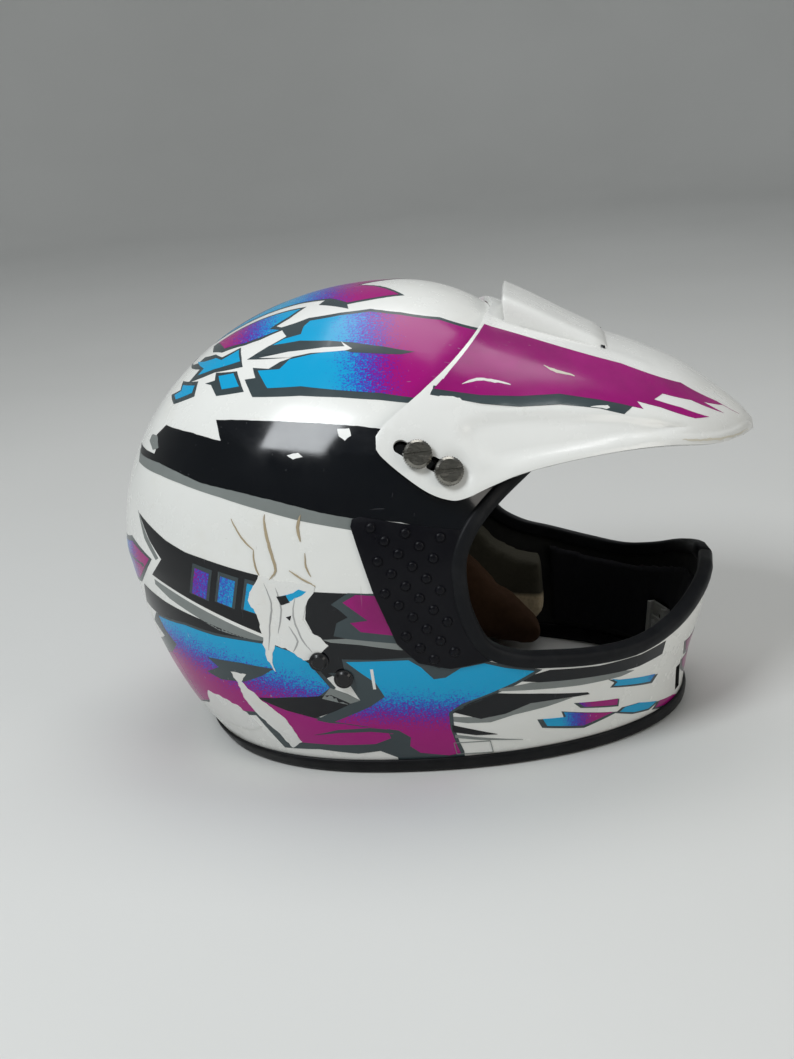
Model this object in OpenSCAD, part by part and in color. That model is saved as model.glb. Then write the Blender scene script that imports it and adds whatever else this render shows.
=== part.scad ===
// Motocross helmet: hollow shell with a chin bar, adjustable peak, foam liners and chin strap.
// Millimetres. +X is the front, +Y the wearer's left, +Z up. The origin is on the ground,
// midway between the back of the shell and the tip of the peak.

/* [Shell] */
// Height of the crown above the ground
crown_z = 245; // [240:1:250]
// Height at which the shell is widest
waist_z = 112; // [108:1:116]
// Half the shell's width at its widest
half_w = 122; // [119:1:124]
// Thickness of the laminate
wall = 3.6; // [3:0.1:4.2]
// Foam thickness behind the laminate
foam_t = 29; // [26:1:31]
// Comfort cloth thickness on the crown foam
cloth_t = 6; // [4:0.5:8]

/* [Trim] */
// Depth of the eye port's rubber from its outer edge to its lip
port_trim_w = 8; // [7:0.5:9]
// Height of the rubber round the neck
neck_trim_h = 9; // [8:0.5:11]

/* [Peak] */
// Thickness of the peak
peak_t = 3; // [2.6:0.1:3.2]
// Diameter of a peak screw's knurled head
screw_head_d = 15; // [14:0.5:16]
// How far the peak slides on its slots
peak_travel = 8; // [6:0.5:8]

/* [Strap] */
// Width of the chin strap's webbing
web_w = 20; // [18:1:22]
// Thickness of the webbing
web_t = 2; // [1.6:0.1:2.4]

/* [Hidden] */

// Fore and aft places on the shell
back_x = -176;
mid_x = -19;
brow_x = 88;
// Superellipse powers: crown rise, front half and back half of each level section
rise_pow = 2.05;
front_pow = 2.1;
back_pow = 2.3;
// Level sections below the waist, as [height, value]
back_line = [[0, -131], [30, -151], [70, -167], [waist_z, back_x]];
chin_line = [[0, 134], [30, 139], [60, 148], [90, 153]];
side_line = [[0, half_w - 22], [30, half_w - 11], [70, half_w - 1], [waist_z, half_w]];
chin_top_z = 90;
brow_z = 165;
rim_z = 2.5;
around = 64;
low_rows = 8;
high_rows = 12;

// The eye port's outer trim edge in side view, from the brow to the chin
port_line = [[75.5, 174], [56, 167], [36, 156], [22, 143], [14, 127], [13, 110], [16, 92],
    [25, 73], [42, 63], [62, 59], [85, 55.5], [108, 54.5], [128, 60], [143, 69], [152, 76]];
port_steps = 3;
shell_lap = 5;

// ---- curves ----
function slope(p, i) = i == 0 ? (p[1][1] - p[0][1]) / (p[1][0] - p[0][0])
    : i == len(p) - 1 ? (p[i][1] - p[i - 1][1]) / (p[i][0] - p[i - 1][0])
    : (p[i + 1][1] - p[i - 1][1]) / (p[i + 1][0] - p[i - 1][0]);
function spot(p, z, i = 0) = i >= len(p) - 2 || z <= p[i + 1][0] ? i : spot(p, z, i + 1);
// Smooth curve through the points p, read at z
function along(p, z) = let (
        c = min(max(z, p[0][0]), p[len(p) - 1][0]), i = spot(p, c),
        h = p[i + 1][0] - p[i][0], t = (c - p[i][0]) / h, t2 = t * t, t3 = t2 * t)
    (2 * t3 - 3 * t2 + 1) * p[i][1] + (t3 - 2 * t2 + t) * h * slope(p, i)
    + (3 * t2 - 2 * t3) * p[i + 1][1] + (t3 - t2) * h * slope(p, i + 1);
function ease(t) = let (c = min(max(t, 0), 1)) c * c * (3 - 2 * c);
function power(v, e) = sign(v) * pow(abs(v), e);
function unit(v) = v / norm(v);
// Round curve through points of any dimension, with n steps between neighbours
function through(p, n) = [for (i = [0:len(p) - 2], k = [0:n - 1])
        let (a = p[max(i - 1, 0)], b = p[i], c = p[i + 1], d = p[min(i + 2, len(p) - 1)], t = k / n)
        0.5 * (2 * b + (c - a) * t + (2 * a - 5 * b + 4 * c - d) * t * t
            + (3 * b - a - 3 * c + d) * t * t * t), p[len(p) - 1]];

// ---- the shell's form, inset by o ----
function rise(z, o) = let (r = min(max((z - waist_z) / (crown_z - o - waist_z), 0), 1))
    pow(1 - pow(r, rise_pow), 1 / rise_pow);
function back_at(z, o) = z >= waist_z ? mid_x + (back_x + o - mid_x) * rise(z, o)
    : along(back_line, z) + o;
function side_at(z, o) = z >= waist_z ? (half_w - o) * rise(z, o) : along(side_line, z) - o;
function front_at(z, o) = let (
        chin = along(chin_line, z) - o,
        brow = mid_x + (brow_x - o - mid_x) * rise(z, o),
        t = ease((z - chin_top_z) / (brow_z - chin_top_z)))
    chin * (1 - t) + brow * t;
function skin(a, z, o) = let (c = cos(a), s = sin(a), e = 2 / (c > 0 ? front_pow : back_pow))
    [mid_x + (c > 0 ? front_at(z, o) - mid_x : mid_x - back_at(z, o)) * power(c, e),
        side_at(z, o) * power(s, e), z];
// The section angle at which the skin has this x
function angle_at(x, z) = x > mid_x
    ? acos(pow(min((x - mid_x) / (front_at(z, 0) - mid_x), 1), front_pow / 2))
    : 180 - acos(pow(min((mid_x - x) / (mid_x - back_at(z, 0)), 1), back_pow / 2));
function skin_normal(a, z) = unit(cross(skin(a + 0.5, z, 0) - skin(a - 0.5, z, 0),
    skin(a, z + 0.5, 0) - skin(a, z - 0.5, 0)));
function levels(z0, o) = concat(
    [for (i = [0:low_rows - 1]) z0 + (waist_z - z0) * i / low_rows],
    [for (i = [0:high_rows - 1]) waist_z + (crown_z - o - waist_z) * sin(90 * i / high_rows)]);

// One mesh of its children
module meshed() { resize([0, 0, 0]) union() children(); }

// Solid skinned over rings of equal length, capped flat at both ends
module skinned(rings) {
    n = len(rings[0]);
    m = len(rings);
    polyhedron([for (r = rings, p = r) p], concat(
        [[for (i = [0:n - 1]) i]], [[for (i = [n - 1:-1:0]) (m - 1) * n + i]],
        [for (k = [0:m - 2], i = [0:n - 1], h = [0, 1]) let (j = (i + 1) % n)
            h == 0 ? [k * n + i, (k + 1) * n + i, (k + 1) * n + j]
                : [k * n + i, (k + 1) * n + j, k * n + j]]));
}

// Ring-shaped solid: rings of equal length, joined end to end
module looped(rings) {
    n = len(rings[0]);
    m = len(rings);
    polyhedron([for (r = rings, p = r) p],
        [for (k = [0:m - 1], i = [0:n - 1], h = [0, 1]) let (j = (i + 1) % n, l = (k + 1) % m)
            h == 0 ? [k * n + i, l * n + i, l * n + j] : [k * n + i, l * n + j, k * n + j]]);
}

// The helmet's form as one solid from height z0 up, inset by o, with steps round each level
module form(z0, o, steps = around) {
    zs = levels(z0, o);
    n = steps;
    m = len(zs);
    polyhedron(concat([for (z = zs, i = [0:n - 1]) skin(360 * i / n, z, o)], [[mid_x, 0, crown_z - o]]),
        concat([[for (i = [0:n - 1]) i]],
            [for (k = [0:m - 2], i = [0:n - 1], h = [0, 1]) let (j = (i + 1) % n)
                h == 0 ? [k * n + i, (k + 1) * n + i, (k + 1) * n + j]
                    : [k * n + i, (k + 1) * n + j, k * n + j]],
            [for (i = [0:n - 1]) [(m - 1) * n + i, m * n, (m - 1) * n + (i + 1) % n]]));
}

// Layer of the form between two insets
module layer(z0, outer, inner, steps = around) {
    difference() {
        form(z0, outer, steps);
        form(z0 - 1, inner, steps);
    }
}

// Side-view outline pushed through the helmet from y0 to y1
module side_cut(outline, y0 = -200, y1 = 200) {
    translate([0, y1, 0]) rotate([90, 0, 0]) linear_extrude(y1 - y0) polygon(outline);
}

module mirrored(left) {
    if (left) children();
    else mirror([0, 1, 0]) children();
}

// The eye port in side view, drawn in by d from the trim's outer edge
function port_edge(d) = let (p = through(port_line, port_steps), n = len(p))
    [for (i = [0:n - 1]) let (t = unit(p[min(i + 1, n - 1)] - p[max(i - 1, 0)])) p[i] + d * [-t[1], t[0]]];
module port_cut(d) {
    p = port_edge(d);
    side_cut(concat([[200, p[0][1] + 12]], p, [[200, p[len(p) - 1][1] + 3]]));
}

// ---- peak screws, which set the slots' direction ----
screw_axis = unit([0.24, 0.90, 0.375]);
slide_axis = unit([screw_axis[2], 0, -screw_axis[0]]);
screw_gap = 17.5;
screw_rear = [-1, 109.5, 176];
screw_front = screw_rear + screw_gap * slide_axis;
shank_r = 2.95;
slot_r = 3.4;
insert_bore_r = 3;
insert_r = 4.5;
// Height of each head's underside along the screw axis, and how far its seat is clear of it
head_lifts = [4.2, 5.3];
seat_gap = 0.1;
head_h = 4.6;
soft_gap = 0.8;

function head_lift(p) = p == screw_rear ? head_lifts[0] : head_lifts[1];

// Places its children at a left-side point, with their +Z along the screw axis
module at_screw(p) {
    b = acos(screw_axis[2]);
    c = atan2(screw_axis[1], screw_axis[0]);
    translate(p) rotate([0, b, c]) children();
}

// ---- chin vents and strap anchors ----
// Each vent faces outwards and a little down, square to the chin
vent_at = [130, 34, 21];
vent_aim = [0, 7, 24];
vent_slit = [2.6, 17];
rivet_at = [[-57, 73], [-45, 63]];
rivet_r = 2.5;
// Strap pins lie on one line across the helmet
pin_at = [-51, 50];
pin_r = 3;

module vent_place() { translate(vent_at) rotate(vent_aim) children(); }
module across(y, p) { translate([p[0], y, p[1]]) rotate([90, 0, 0]) children(); }

module shell() {
    color("white") meshed() difference() {
        form(rim_z, 0);
        form(rim_z - 1, wall);
        port_cut(shell_lap);
        for (left = [true, false]) mirrored(left) {
            vent_place() cube([30, vent_slit[0], vent_slit[1]], center = true);
            for (p = [screw_rear, screw_front]) at_screw(p)
                translate([0, 0, -15]) cylinder(r = insert_r + 0.1, h = 30, $fn = 20);
            for (p = rivet_at) across(130, p) cylinder(r = rivet_r + 0.1, h = 22, $fn = 16);
        }
    }
}

// Foam and cloth stop at these limits
cheek_top = 80;
cheek_back = -22;
neck_back = -76;
neck_foam_z = 34;
foam_steps = 48;
module crown_foam() {
    color("dimgray") meshed() difference() {
        form(neck_foam_z, wall + soft_gap, foam_steps);
        form(neck_foam_z - 1, wall + foam_t, foam_steps);
        port_cut(-4);
        translate([neck_back, -150, 0]) cube([300, 300, cheek_top]);
        for (left = [true, false]) mirrored(left)
            for (p = [screw_rear, screw_front]) at_screw(p)
                translate([0, 0, -22]) cylinder(r = 7, h = 25, $fn = 20);
    }
}

cloth_z = 50;
module comfort_liner() {
    color("black") meshed() difference() {
        form(cloth_z, wall + foam_t + soft_gap, 40);
        form(cloth_z - 1, wall + foam_t + soft_gap + cloth_t, 40);
        port_cut(-5);
        translate([neck_back, -150, 0]) cube([300, 300, cheek_top + 3]);
    }
}

// Padded roll round the nape, under the crown foam
roll_r = 9;
roll_z = 22;
module neck_roll() {
    spread = 56;
    color("black") skinned([for (k = [0:12]) let (
                a = 180 - spread + 2 * spread * k / 12,
                c = skin(a, roll_z, 16),
                out = unit([cos(a), sin(a), 0]))
            [for (i = [0:9]) let (b = 36 * i) c + roll_r * (cos(b) * out + sin(b) * [0, 0, 1.15])]]);
}

cheek_line = [[cheek_back, 16], [cheek_back, cheek_top - 1], [10, cheek_top - 1], [17, 72], [28, 60],
    [42, 54], [56, 52], [57, 24], [50, 16]];
module cheek_foam(left) {
    color("darkolivegreen") meshed() mirrored(left) intersection() {
        layer(5, wall + 2.6, 27, foam_steps);
        side_cut(cheek_line, 20, 140);
    }
}

pad_line = [[cheek_back + 2, 14], [cheek_back + 2, 66], [0, 68], [15, 60], [30, 46], [44, 34], [54, 24],
    [59, 14], [52, 8], [-18, 8]];
module cheek_pad(left) {
    color("saddlebrown") meshed() mirrored(left) intersection() {
        layer(3, 27 + soft_gap, 50, foam_steps);
        side_cut(pad_line, 20, 140);
    }
}

// Soft lining of the chin bar, with a window at each vent
module chin_liner() {
    color([0.1, 0.1, 0.1]) meshed() difference() {
        layer(12, wall + soft_gap, wall + 5, foam_steps);
        translate([-200, -150, 0]) cube([262, 300, 300]);
        port_cut(-2);
        translate([0, -150, 66]) cube([200, 300, 200]);
        for (left = [true, false]) mirrored(left) vent_place()
            translate([-30, -11.5, -11.5]) cube([40, 23, 29.5]);
    }
}

// U section of the eye port's rubber: [towards the opening, inwards from the skin]
port_section = [[0, -0.1], [0.8, -1.8], [3, -2.3], [port_trim_w - 2, -2.1], [port_trim_w + 0.3, -0.8],
    [port_trim_w + 0.4, 4.6], [port_trim_w - 1, wall + 2.2], [0.8, wall + 2.2], [0.4, wall + 0.2],
    [shell_lap + 1.2, wall + 0.2], [shell_lap + 1.2, -0.1]];
function port_path() = let (
        side = [for (p = through(port_line, port_steps)) let (a = angle_at(p[0], p[1])) [a, p[1]]],
        n = len(side))
    concat([[0, side[0][1]]], [for (i = [1:n - 2]) [-side[i][0], side[i][1]]], [[0, side[n - 1][1]]],
        [for (i = [n - 2:-1:1]) side[i]]);
module eye_port_trim() {
    path = port_path();
    n = len(path);
    pts = [for (q = path) skin(q[0], q[1], 0)];
    color([0.08, 0.09, 0.1]) looped([for (i = [0:n - 1]) let (
            t = unit(pts[(i + 1) % n] - pts[(i + n - 1) % n]), out = skin_normal(path[i][0], path[i][1]),
            into = unit(cross(out, t)), up = unit(cross(t, into)))
        [for (q = port_section) pts[i] + q[0] * into - q[1] * up]]);
}

// U section of the neck rubber: [inset, height]
neck_section = [[-0.15, rim_z], [-0.15, neck_trim_h], [-1.7, neck_trim_h - 0.6], [-2.3, neck_trim_h - 2.5],
    [-2.3, 1.6], [-1.2, 0], [wall + 1.2, 0], [wall + 2.2, 1.6], [wall + 2.2, neck_trim_h - 1],
    [wall + 0.15, neck_trim_h - 1], [wall + 0.15, rim_z]];
module neck_trim() {
    color([0.06, 0.07, 0.08]) looped([for (i = [0:around - 1])
        [for (q = neck_section) skin(360 * i / around, q[1], q[0])]]);
}

// Rubber panel behind the eye port, on the outside of the shell
grip_line = [[-36, 146], [-33, 149], [16, 139], [13.5, 128], [12.5, 110], [15.5, 92], [24, 73], [30, 69],
    [10, 66], [-8, 71], [-17, 82], [-26, 110]];
module grip_panel(left) {
    color([0.05, 0.05, 0.07]) meshed() mirrored(left) difference() {
        intersection() {
            layer(60, -1.2, -0.02);
            side_cut(grip_line, 20, 140);
        }
        port_cut(-0.8);
    }
}

// ---- peak ----
// Crown height, half width and waist height of the peak's arch, as [x, value]
peak_top = [[-24, 250], [10, 241], [45, 227], [97, 208], [135, 192], [158, 176], [172, 164],
    [176, 158]];
peak_half = [[-24, 125.5], [0, 125], [25, 121], [60, 111], [100, 96], [130, 80], [152, 58], [168, 30],
    [176, 6]];
peak_waist = [[-24, 112], [0, 114], [60, 140], [110, 152], [176, 152]];
peak_pow = 2.2;
// Side-view outline of the peak: back edge, lower edge, then well clear above
peak_line = [[48, 260], [43, 236], [32, 228], [16, 214], [0, 203], [-13, 194], [-20, 187], [-20, 180],
    [-8, 169], [4, 160], [14, 155.5], [22, 155], [36, 160], [52, 164.5], [76, 167.5], [104, 168.5],
    [128, 166.5],
    [152, 160], [200, 148], [200, 260]];
function arch(x, o) = let (
        w = along(peak_half, x) - o,
        b = along(peak_waist, x),
        h = along(peak_top, x) - o - b)
    [for (k = [0:26]) let (a = 180 * k / 26)
        [x, w * power(cos(a), 2 / peak_pow), b + max(h, 1) * power(sin(a), 2 / peak_pow)]];
module arch_solid(o, x1) {
    xs = [-24, -12, 0, 12, 25, 38, 52, 68, 84, 100, 115, 130, 142, 152, 160, 167, 172, x1];
    skinned([for (x = xs) concat(arch(min(x, x1), o),
        [[x, -arch(x, o)[0][1], 100], [x, arch(x, o)[0][1], 100]])]);
}
// Slot that runs up and back from a screw
module slot(p) {
    hull() for (s = [0, peak_travel + 0.8]) at_screw(p - s * slide_axis)
        translate([0, 0, -6]) cylinder(r = slot_r, h = 26, $fn = 24);
}
// Flat seat milled in the peak under a screw's head, over the whole travel
module seat(p) {
    for (s = [0:peak_travel]) at_screw(p - s * slide_axis)
        translate([0, 0, head_lift(p) - seat_gap]) cylinder(r = screw_head_d / 2 + 0.5, h = 8, $fn = 32);
}
scoop_half = 29;
scoop_back = [44, 239];
scoop_front = [96, 212.5];
// Raised air duct on the peak, drawn in by d, from x0 past its own back to its front less d
module scoop(d, x0) {
    run = (scoop_front - scoop_back) / (scoop_front[0] - scoop_back[0]);
    hull() for (x = [x0, scoop_front[0] - d]) let (z = scoop_back[1] + run[1] * (x - scoop_back[0]) - d,
            w = scoop_half - d - 3 * (x - scoop_back[0]) / 50)
        translate([x, 0, z]) rotate([90, 0, 90]) linear_extrude(0.01)
            polygon([[-w - 2, -26], [-w, -4], [-w + 3, -1.4], [-w + 9, -0.2], [w - 9, -0.2], [w - 3, -1.4],
                [w, -4], [w + 2, -26]]);
}
module peak() {
    color("white") meshed() difference() {
        union() {
            intersection() {
                arch_solid(0, 176);
                side_cut(peak_line);
            }
            scoop(0, scoop_back[0]);
        }
        arch_solid(peak_t, 173);
        scoop(2.4, scoop_back[0] - 12);
        translate([90, -18, 205]) cube([20, 36, 5]);
        for (left = [true, false]) mirrored(left) for (p = [screw_rear, screw_front]) {
            slot(p);
            seat(p);
        }
    }
}

// Knurled, slotted thumbscrew
knurls = 36;
screw_tip = -9;
module peak_screw(p, left) {
    head_r = screw_head_d / 2;
    lift = head_lift(p);
    color([0.45, 0.45, 0.42]) mirrored(left) at_screw(p) difference() {
        union() {
            translate([0, 0, lift]) cylinder(r = head_r - 0.5, h = head_h - 1, $fn = 48);
            translate([0, 0, lift + head_h - 1])
                cylinder(r1 = head_r - 0.5, r2 = head_r - 1.7, h = 1, $fn = 48);
            for (i = [0:knurls - 1]) rotate(360 * i / knurls) translate([head_r - 0.6, 0, lift + 0.3])
                cylinder(r = 0.5, h = head_h - 1.6, $fn = 4);
            translate([0, 0, screw_tip]) cylinder(r = shank_r, h = lift - screw_tip + 0.5, $fn = 32);
        }
        translate([-0.9, -head_r, lift + head_h - 1.8]) cube([1.8, 2 * head_r, 5]);
    }
}

// Threaded bushes moulded into the shell for the peak screws
module peak_inserts(left) {
    color("gold") mirrored(left) for (p = [screw_rear, screw_front]) at_screw(p) difference() {
        union() {
            translate([0, 0, -10]) cylinder(r = insert_r, h = 7.4, $fn = 32);
            translate([0, 0, -10]) cylinder(r = 6.2, h = 2, $fn = 32);
        }
        translate([0, 0, -11]) cylinder(r = insert_bore_r, h = 20, $fn = 32);
    }
}

// ---- chin vent parts: a grooved frame glued inside the chin, and a shutter that slides in it ----
frame_low = -9.5;
frame_h = 26;
frame_half = 10;
shutter_h = 17;
module vent_frame(left) {
    color("lightgray") mirrored(left) vent_place() difference() {
        translate([-9.4, -frame_half, frame_low]) cube([4.6, 2 * frame_half, frame_h]);
        translate([-10, -6.2, frame_low - 1]) cube([2.4, 12.4, frame_h + 2]);
        translate([-8.6, -8, frame_low + 0.8]) cube([2.4, 16, frame_h]);
        translate([-10, -3, frame_low + 2]) cube([10, 6, frame_h - 8]);
    }
}
module vent_shutter(left) {
    color("silver") mirrored(left) vent_place() {
        translate([-8.1, -7.6, frame_low + 1.2]) cube([1.4, 15.2, shutter_h]);
        for (y = [-3.6, 2]) translate([-9.8, y, frame_low + 3]) cube([1.8, 1.6, shutter_h - 4]);
    }
}

// ---- chin strap ----
plate_t = 1.6;
plate_out = [111, 102.6];
eye_out = 100.2;
eye_t = 2;
eye_bar_z = 35.5;
loop_y = eye_out - eye_t / 2;
module strap_bracket(left) {
    color("silver") mirrored(left) difference() {
        union() {
            intersection() {
                translate([-70, 0, 0]) rotate([90, 0, 90]) linear_extrude(40) polygon([
                    [plate_out[0], 81], [plate_out[0], 57.8], [plate_out[1], 52.6], [plate_out[1], 40],
                    [plate_out[1] - plate_t, 40], [plate_out[1] - plate_t, 53.4],
                    [plate_out[0] - plate_t, 58.7], [plate_out[0] - plate_t, 81]]);
                translate([0, 130, 0]) rotate([90, 0, 0]) linear_extrude(40) hull() {
                    for (p = rivet_at) translate(p) circle(r = 6.5, $fn = 32);
                    translate(pin_at) circle(r = 8, $fn = 32);
                }
            }
            across(plate_out[1] - 1, pin_at) cylinder(r = pin_r, h = 5.6, $fn = 32);
            across(eye_out - eye_t - 0.8, pin_at) cylinder(r = pin_r + 1.6, h = plate_t, $fn = 32);
        }
        for (p = rivet_at) across(130, p) cylinder(r = rivet_r + 0.1, h = 40, $fn = 32);
    }
}
module strap_rivets(left) {
    inner = plate_out[0] - plate_t;
    color([0.08, 0.08, 0.08]) mirrored(left) for (p = rivet_at) {
        base = skin(angle_at(p[0], p[1]), p[1], 0)[1] + 0.5;
        across(base + 1.4, p) cylinder(r = 5, h = 1.4, $fn = 40);
        across(base + 2.4, p) cylinder(r1 = 3.2, r2 = 4.2, h = 1, $fn = 40);
        across(base + 1, p) cylinder(r = rivet_r, h = base + 2 - inner, $fn = 32);
        across(inner - 0.1, p) cylinder(r = 4, h = 1.4, $fn = 32);
    }
}

// Steel eye that turns on the bracket's pin and carries the webbing
module strap_eye(left) {
    half = web_w / 2 + 3;
    color("silver") mirrored(left) translate([0, eye_out, 0]) rotate([90, 0, 0])
        linear_extrude(eye_t) difference() {
        hull() {
            translate(pin_at) circle(r = 7, $fn = 40);
            translate([pin_at[0] - half, eye_bar_z - 1.5]) square([2 * half, 7]);
        }
        translate(pin_at) circle(r = pin_r + 0.06, $fn = 64);
        translate([pin_at[0] - half + 2.5, eye_bar_z + 1.5]) square([2 * half - 5, 3.4]);
    }
}

// Flat webbing along a route of [y, z] centre points
function strip(p, t) = let (
        n = len(p),
        d = [for (i = [0:n - 1]) unit(p[min(i + 1, n - 1)] - p[max(i - 1, 0)])])
    concat([for (i = [0:n - 1]) p[i] + t / 2 * [-d[i][1], d[i][0]]],
        [for (i = [n - 1:-1:0]) p[i] - t / 2 * [-d[i][1], d[i][0]]]);
module webbing(route, n = 3) {
    translate([pin_at[0] - web_w / 2, 0, 0]) rotate([90, 0, 90]) linear_extrude(web_w)
        polygon(strip(through(route, n), web_t));
}
module web_loop(r) {
    rotate([90, 0, 90]) difference() {
        cylinder(r = r + web_t, h = web_w, center = true, $fn = 40);
        cylinder(r = r, h = web_w + 1, center = true, $fn = 40);
    }
}

// Rings lie on a plane that falls towards the chin, one above the other
buckle_at = [pin_at[0], -72, 23];
buckle_fall = -20;
ring_r = 1.8;
ring_lift = 2.4;
ring_tilt = 6;
ring_side = 4;
module buckle_place() { translate(buckle_at) rotate([buckle_fall, 0, 0]) children(); }
function buckle(p) = [buckle_at[1], buckle_at[2]]
    + [p[0] * cos(buckle_fall) - p[1] * sin(buckle_fall), p[0] * sin(buckle_fall) + p[1] * cos(buckle_fall)];

// Short strap: sewn round the right eye at one end and round both rings' bars at the other
module strap_short() {
    bar_r = ring_r + 0.08;
    color([0.1, 0.1, 0.12]) difference() {
        union() {
            webbing([[-loop_y + 2.6, eye_bar_z - 1.8], [-93, 29.6], [-86, 26.8], buckle([-3.4, 0])]);
            translate([pin_at[0], -loop_y, eye_bar_z]) web_loop(1.9);
            buckle_place() translate([-web_w / 2, 0, 0]) rotate([90, 0, 90]) linear_extrude(web_w) hull()
                for (s = [-1, 1]) translate([0, s * ring_lift]) circle(r = bar_r + web_t - 0.3, $fn = 40);
        }
        for (s = [-1, 1]) buckle_place() translate([0, 0, s * ring_lift]) rotate([0, 90, 0])
            cylinder(r = bar_r, h = web_w + 2, center = true, $fn = 40);
        translate([pin_at[0], -loop_y, eye_bar_z]) rotate([0, 90, 0])
            cylinder(r = 1.9, h = web_w + 2, center = true, $fn = 40);
    }
}

// Long strap: from the left eye under the chin, up through both rings and folded back on itself
module strap_long() {
    color([0.1, 0.1, 0.12]) {
        webbing([[loop_y - 2.6, eye_bar_z - 1.8], [92, 26.5], [72, 16], [44, 8.5], [10, 6], [-20, 6],
            [-40, 7.4], buckle([17, -7.6]), buckle([9.5, -7.2]), buckle([5.8, -4.6]), buckle([5.3, 0]),
            buckle([5.8, 4.6]), buckle([9.5, 7.2]), buckle([17, 7.6]), [-44, 14.5], [-30, 10.2], [-12, 9.4]]);
        translate([pin_at[0], loop_y, eye_bar_z]) web_loop(1.9);
    }
}

// Steel ring with a straight bar held in the short strap's loop, s = 1 for the upper one
module d_ring(s) {
    bow = web_w / 2 + 2.6;
    color("silver") buckle_place() translate([0, 0, s * ring_lift]) rotate([s * ring_tilt, 0, 0]) {
        rotate([0, 90, 0]) cylinder(r = ring_r, h = 2 * bow, center = true, $fn = 32);
        for (x = [-bow, bow]) translate([x, 0, 0]) {
            sphere(r = ring_r, $fn = 32);
            rotate([-90, 0, 0]) cylinder(r = ring_r, h = ring_side, $fn = 32);
        }
        translate([0, ring_side, 0]) rotate_extrude(angle = 180, $fn = 64)
            translate([bow, 0]) circle(r = ring_r, $fn = 32);
    }
}

shell();
crown_foam();
comfort_liner();
neck_roll();
cheek_foam(true);  // cheek_foam_left
cheek_foam(false);  // cheek_foam_right
cheek_pad(true);  // cheek_pad_left
cheek_pad(false);  // cheek_pad_right
chin_liner();
eye_port_trim();
neck_trim();
grip_panel(true);  // grip_panel_left
grip_panel(false);  // grip_panel_right
peak();
peak_screw(screw_front, true);  // peak_screw_front_left
peak_screw(screw_rear, true);  // peak_screw_rear_left
peak_screw(screw_front, false);  // peak_screw_front_right
peak_screw(screw_rear, false);  // peak_screw_rear_right
peak_inserts(true);  // peak_inserts_left
peak_inserts(false);  // peak_inserts_right
vent_frame(true);  // vent_frame_left
vent_frame(false);  // vent_frame_right
vent_shutter(true);  // vent_shutter_left
vent_shutter(false);  // vent_shutter_right
strap_bracket(true);  // strap_bracket_left
strap_bracket(false);  // strap_bracket_right
strap_rivets(true);  // strap_rivets_left
strap_rivets(false);  // strap_rivets_right
strap_eye(true);  // strap_eye_left
strap_eye(false);  // strap_eye_right
strap_short();
strap_long();
d_ring(1);  // d_ring_upper
d_ring(-1);  // d_ring_lower
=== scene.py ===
"""Motocross helmet: painted shell and peak, rubber trims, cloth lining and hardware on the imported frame."""
import math

import bmesh
import bpy
from mathutils import Matrix, Vector, noise
from mathutils.geometry import delaunay_2d_cdt


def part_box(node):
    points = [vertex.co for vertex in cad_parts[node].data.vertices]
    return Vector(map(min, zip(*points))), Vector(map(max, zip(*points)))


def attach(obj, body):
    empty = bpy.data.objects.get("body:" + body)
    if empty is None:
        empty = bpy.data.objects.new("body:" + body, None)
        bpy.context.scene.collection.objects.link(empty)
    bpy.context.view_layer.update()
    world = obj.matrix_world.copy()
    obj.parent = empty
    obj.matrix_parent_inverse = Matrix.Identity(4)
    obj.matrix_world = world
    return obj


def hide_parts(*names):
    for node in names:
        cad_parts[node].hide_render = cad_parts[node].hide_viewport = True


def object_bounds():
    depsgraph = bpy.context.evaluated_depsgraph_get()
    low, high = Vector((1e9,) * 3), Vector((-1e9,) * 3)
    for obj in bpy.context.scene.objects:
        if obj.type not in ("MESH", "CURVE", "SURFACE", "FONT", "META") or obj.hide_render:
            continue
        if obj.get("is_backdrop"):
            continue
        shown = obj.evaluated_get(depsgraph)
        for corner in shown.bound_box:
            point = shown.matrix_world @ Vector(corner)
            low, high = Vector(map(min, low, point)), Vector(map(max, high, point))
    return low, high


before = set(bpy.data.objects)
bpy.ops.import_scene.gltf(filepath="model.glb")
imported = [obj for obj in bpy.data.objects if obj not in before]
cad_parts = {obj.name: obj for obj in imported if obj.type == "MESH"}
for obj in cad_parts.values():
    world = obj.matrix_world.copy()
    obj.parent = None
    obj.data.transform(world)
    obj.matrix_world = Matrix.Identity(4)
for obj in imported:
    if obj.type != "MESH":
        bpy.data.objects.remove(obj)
cad_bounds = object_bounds()
noise.seed_set(7)
MM = 0.001

# ---------------------------------------------------------------- form of the shell, in millimetres
shell_lo, shell_hi = (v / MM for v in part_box("shell"))
CROWN, HALF, BACK, RIM_Z = round(shell_hi[2]), round(shell_hi[1]), round(shell_lo[0]), round(shell_lo[2], 1)
WAIST, WALL = 112.0, 3.6
MID, BROW = -19.0, 88.0
RISE_POW, FRONT_POW, BACK_POW = 2.05, 2.1, 2.3
BACK_LINE = [(0, -131), (30, -151), (70, -167), (WAIST, BACK)]
CHIN_LINE = [(0, 134), (30, 139), (60, 148), (90, 153)]
SIDE_LINE = [(0, HALF - 22), (30, HALF - 11), (70, HALF - 1), (WAIST, HALF)]
CHIN_TOP, BROW_Z = 90.0, 165.0
LEVEL_STEP = 2.2                # millimetres of height to one unit of level below the waist
SHELL_CENTRE = (MID, 0, 110)
SHELL_STRETCH = 1.25            # width of a degree round the shell against a unit of level
PORT_LINE = [(75.5, 174), (56, 167), (36, 156), (22, 143), (14, 127), (13, 110), (16, 92), (25, 73),
    (42, 63), (62, 59), (85, 55.5), (108, 54.5), (128, 60), (143, 69), (152, 76)]


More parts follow.
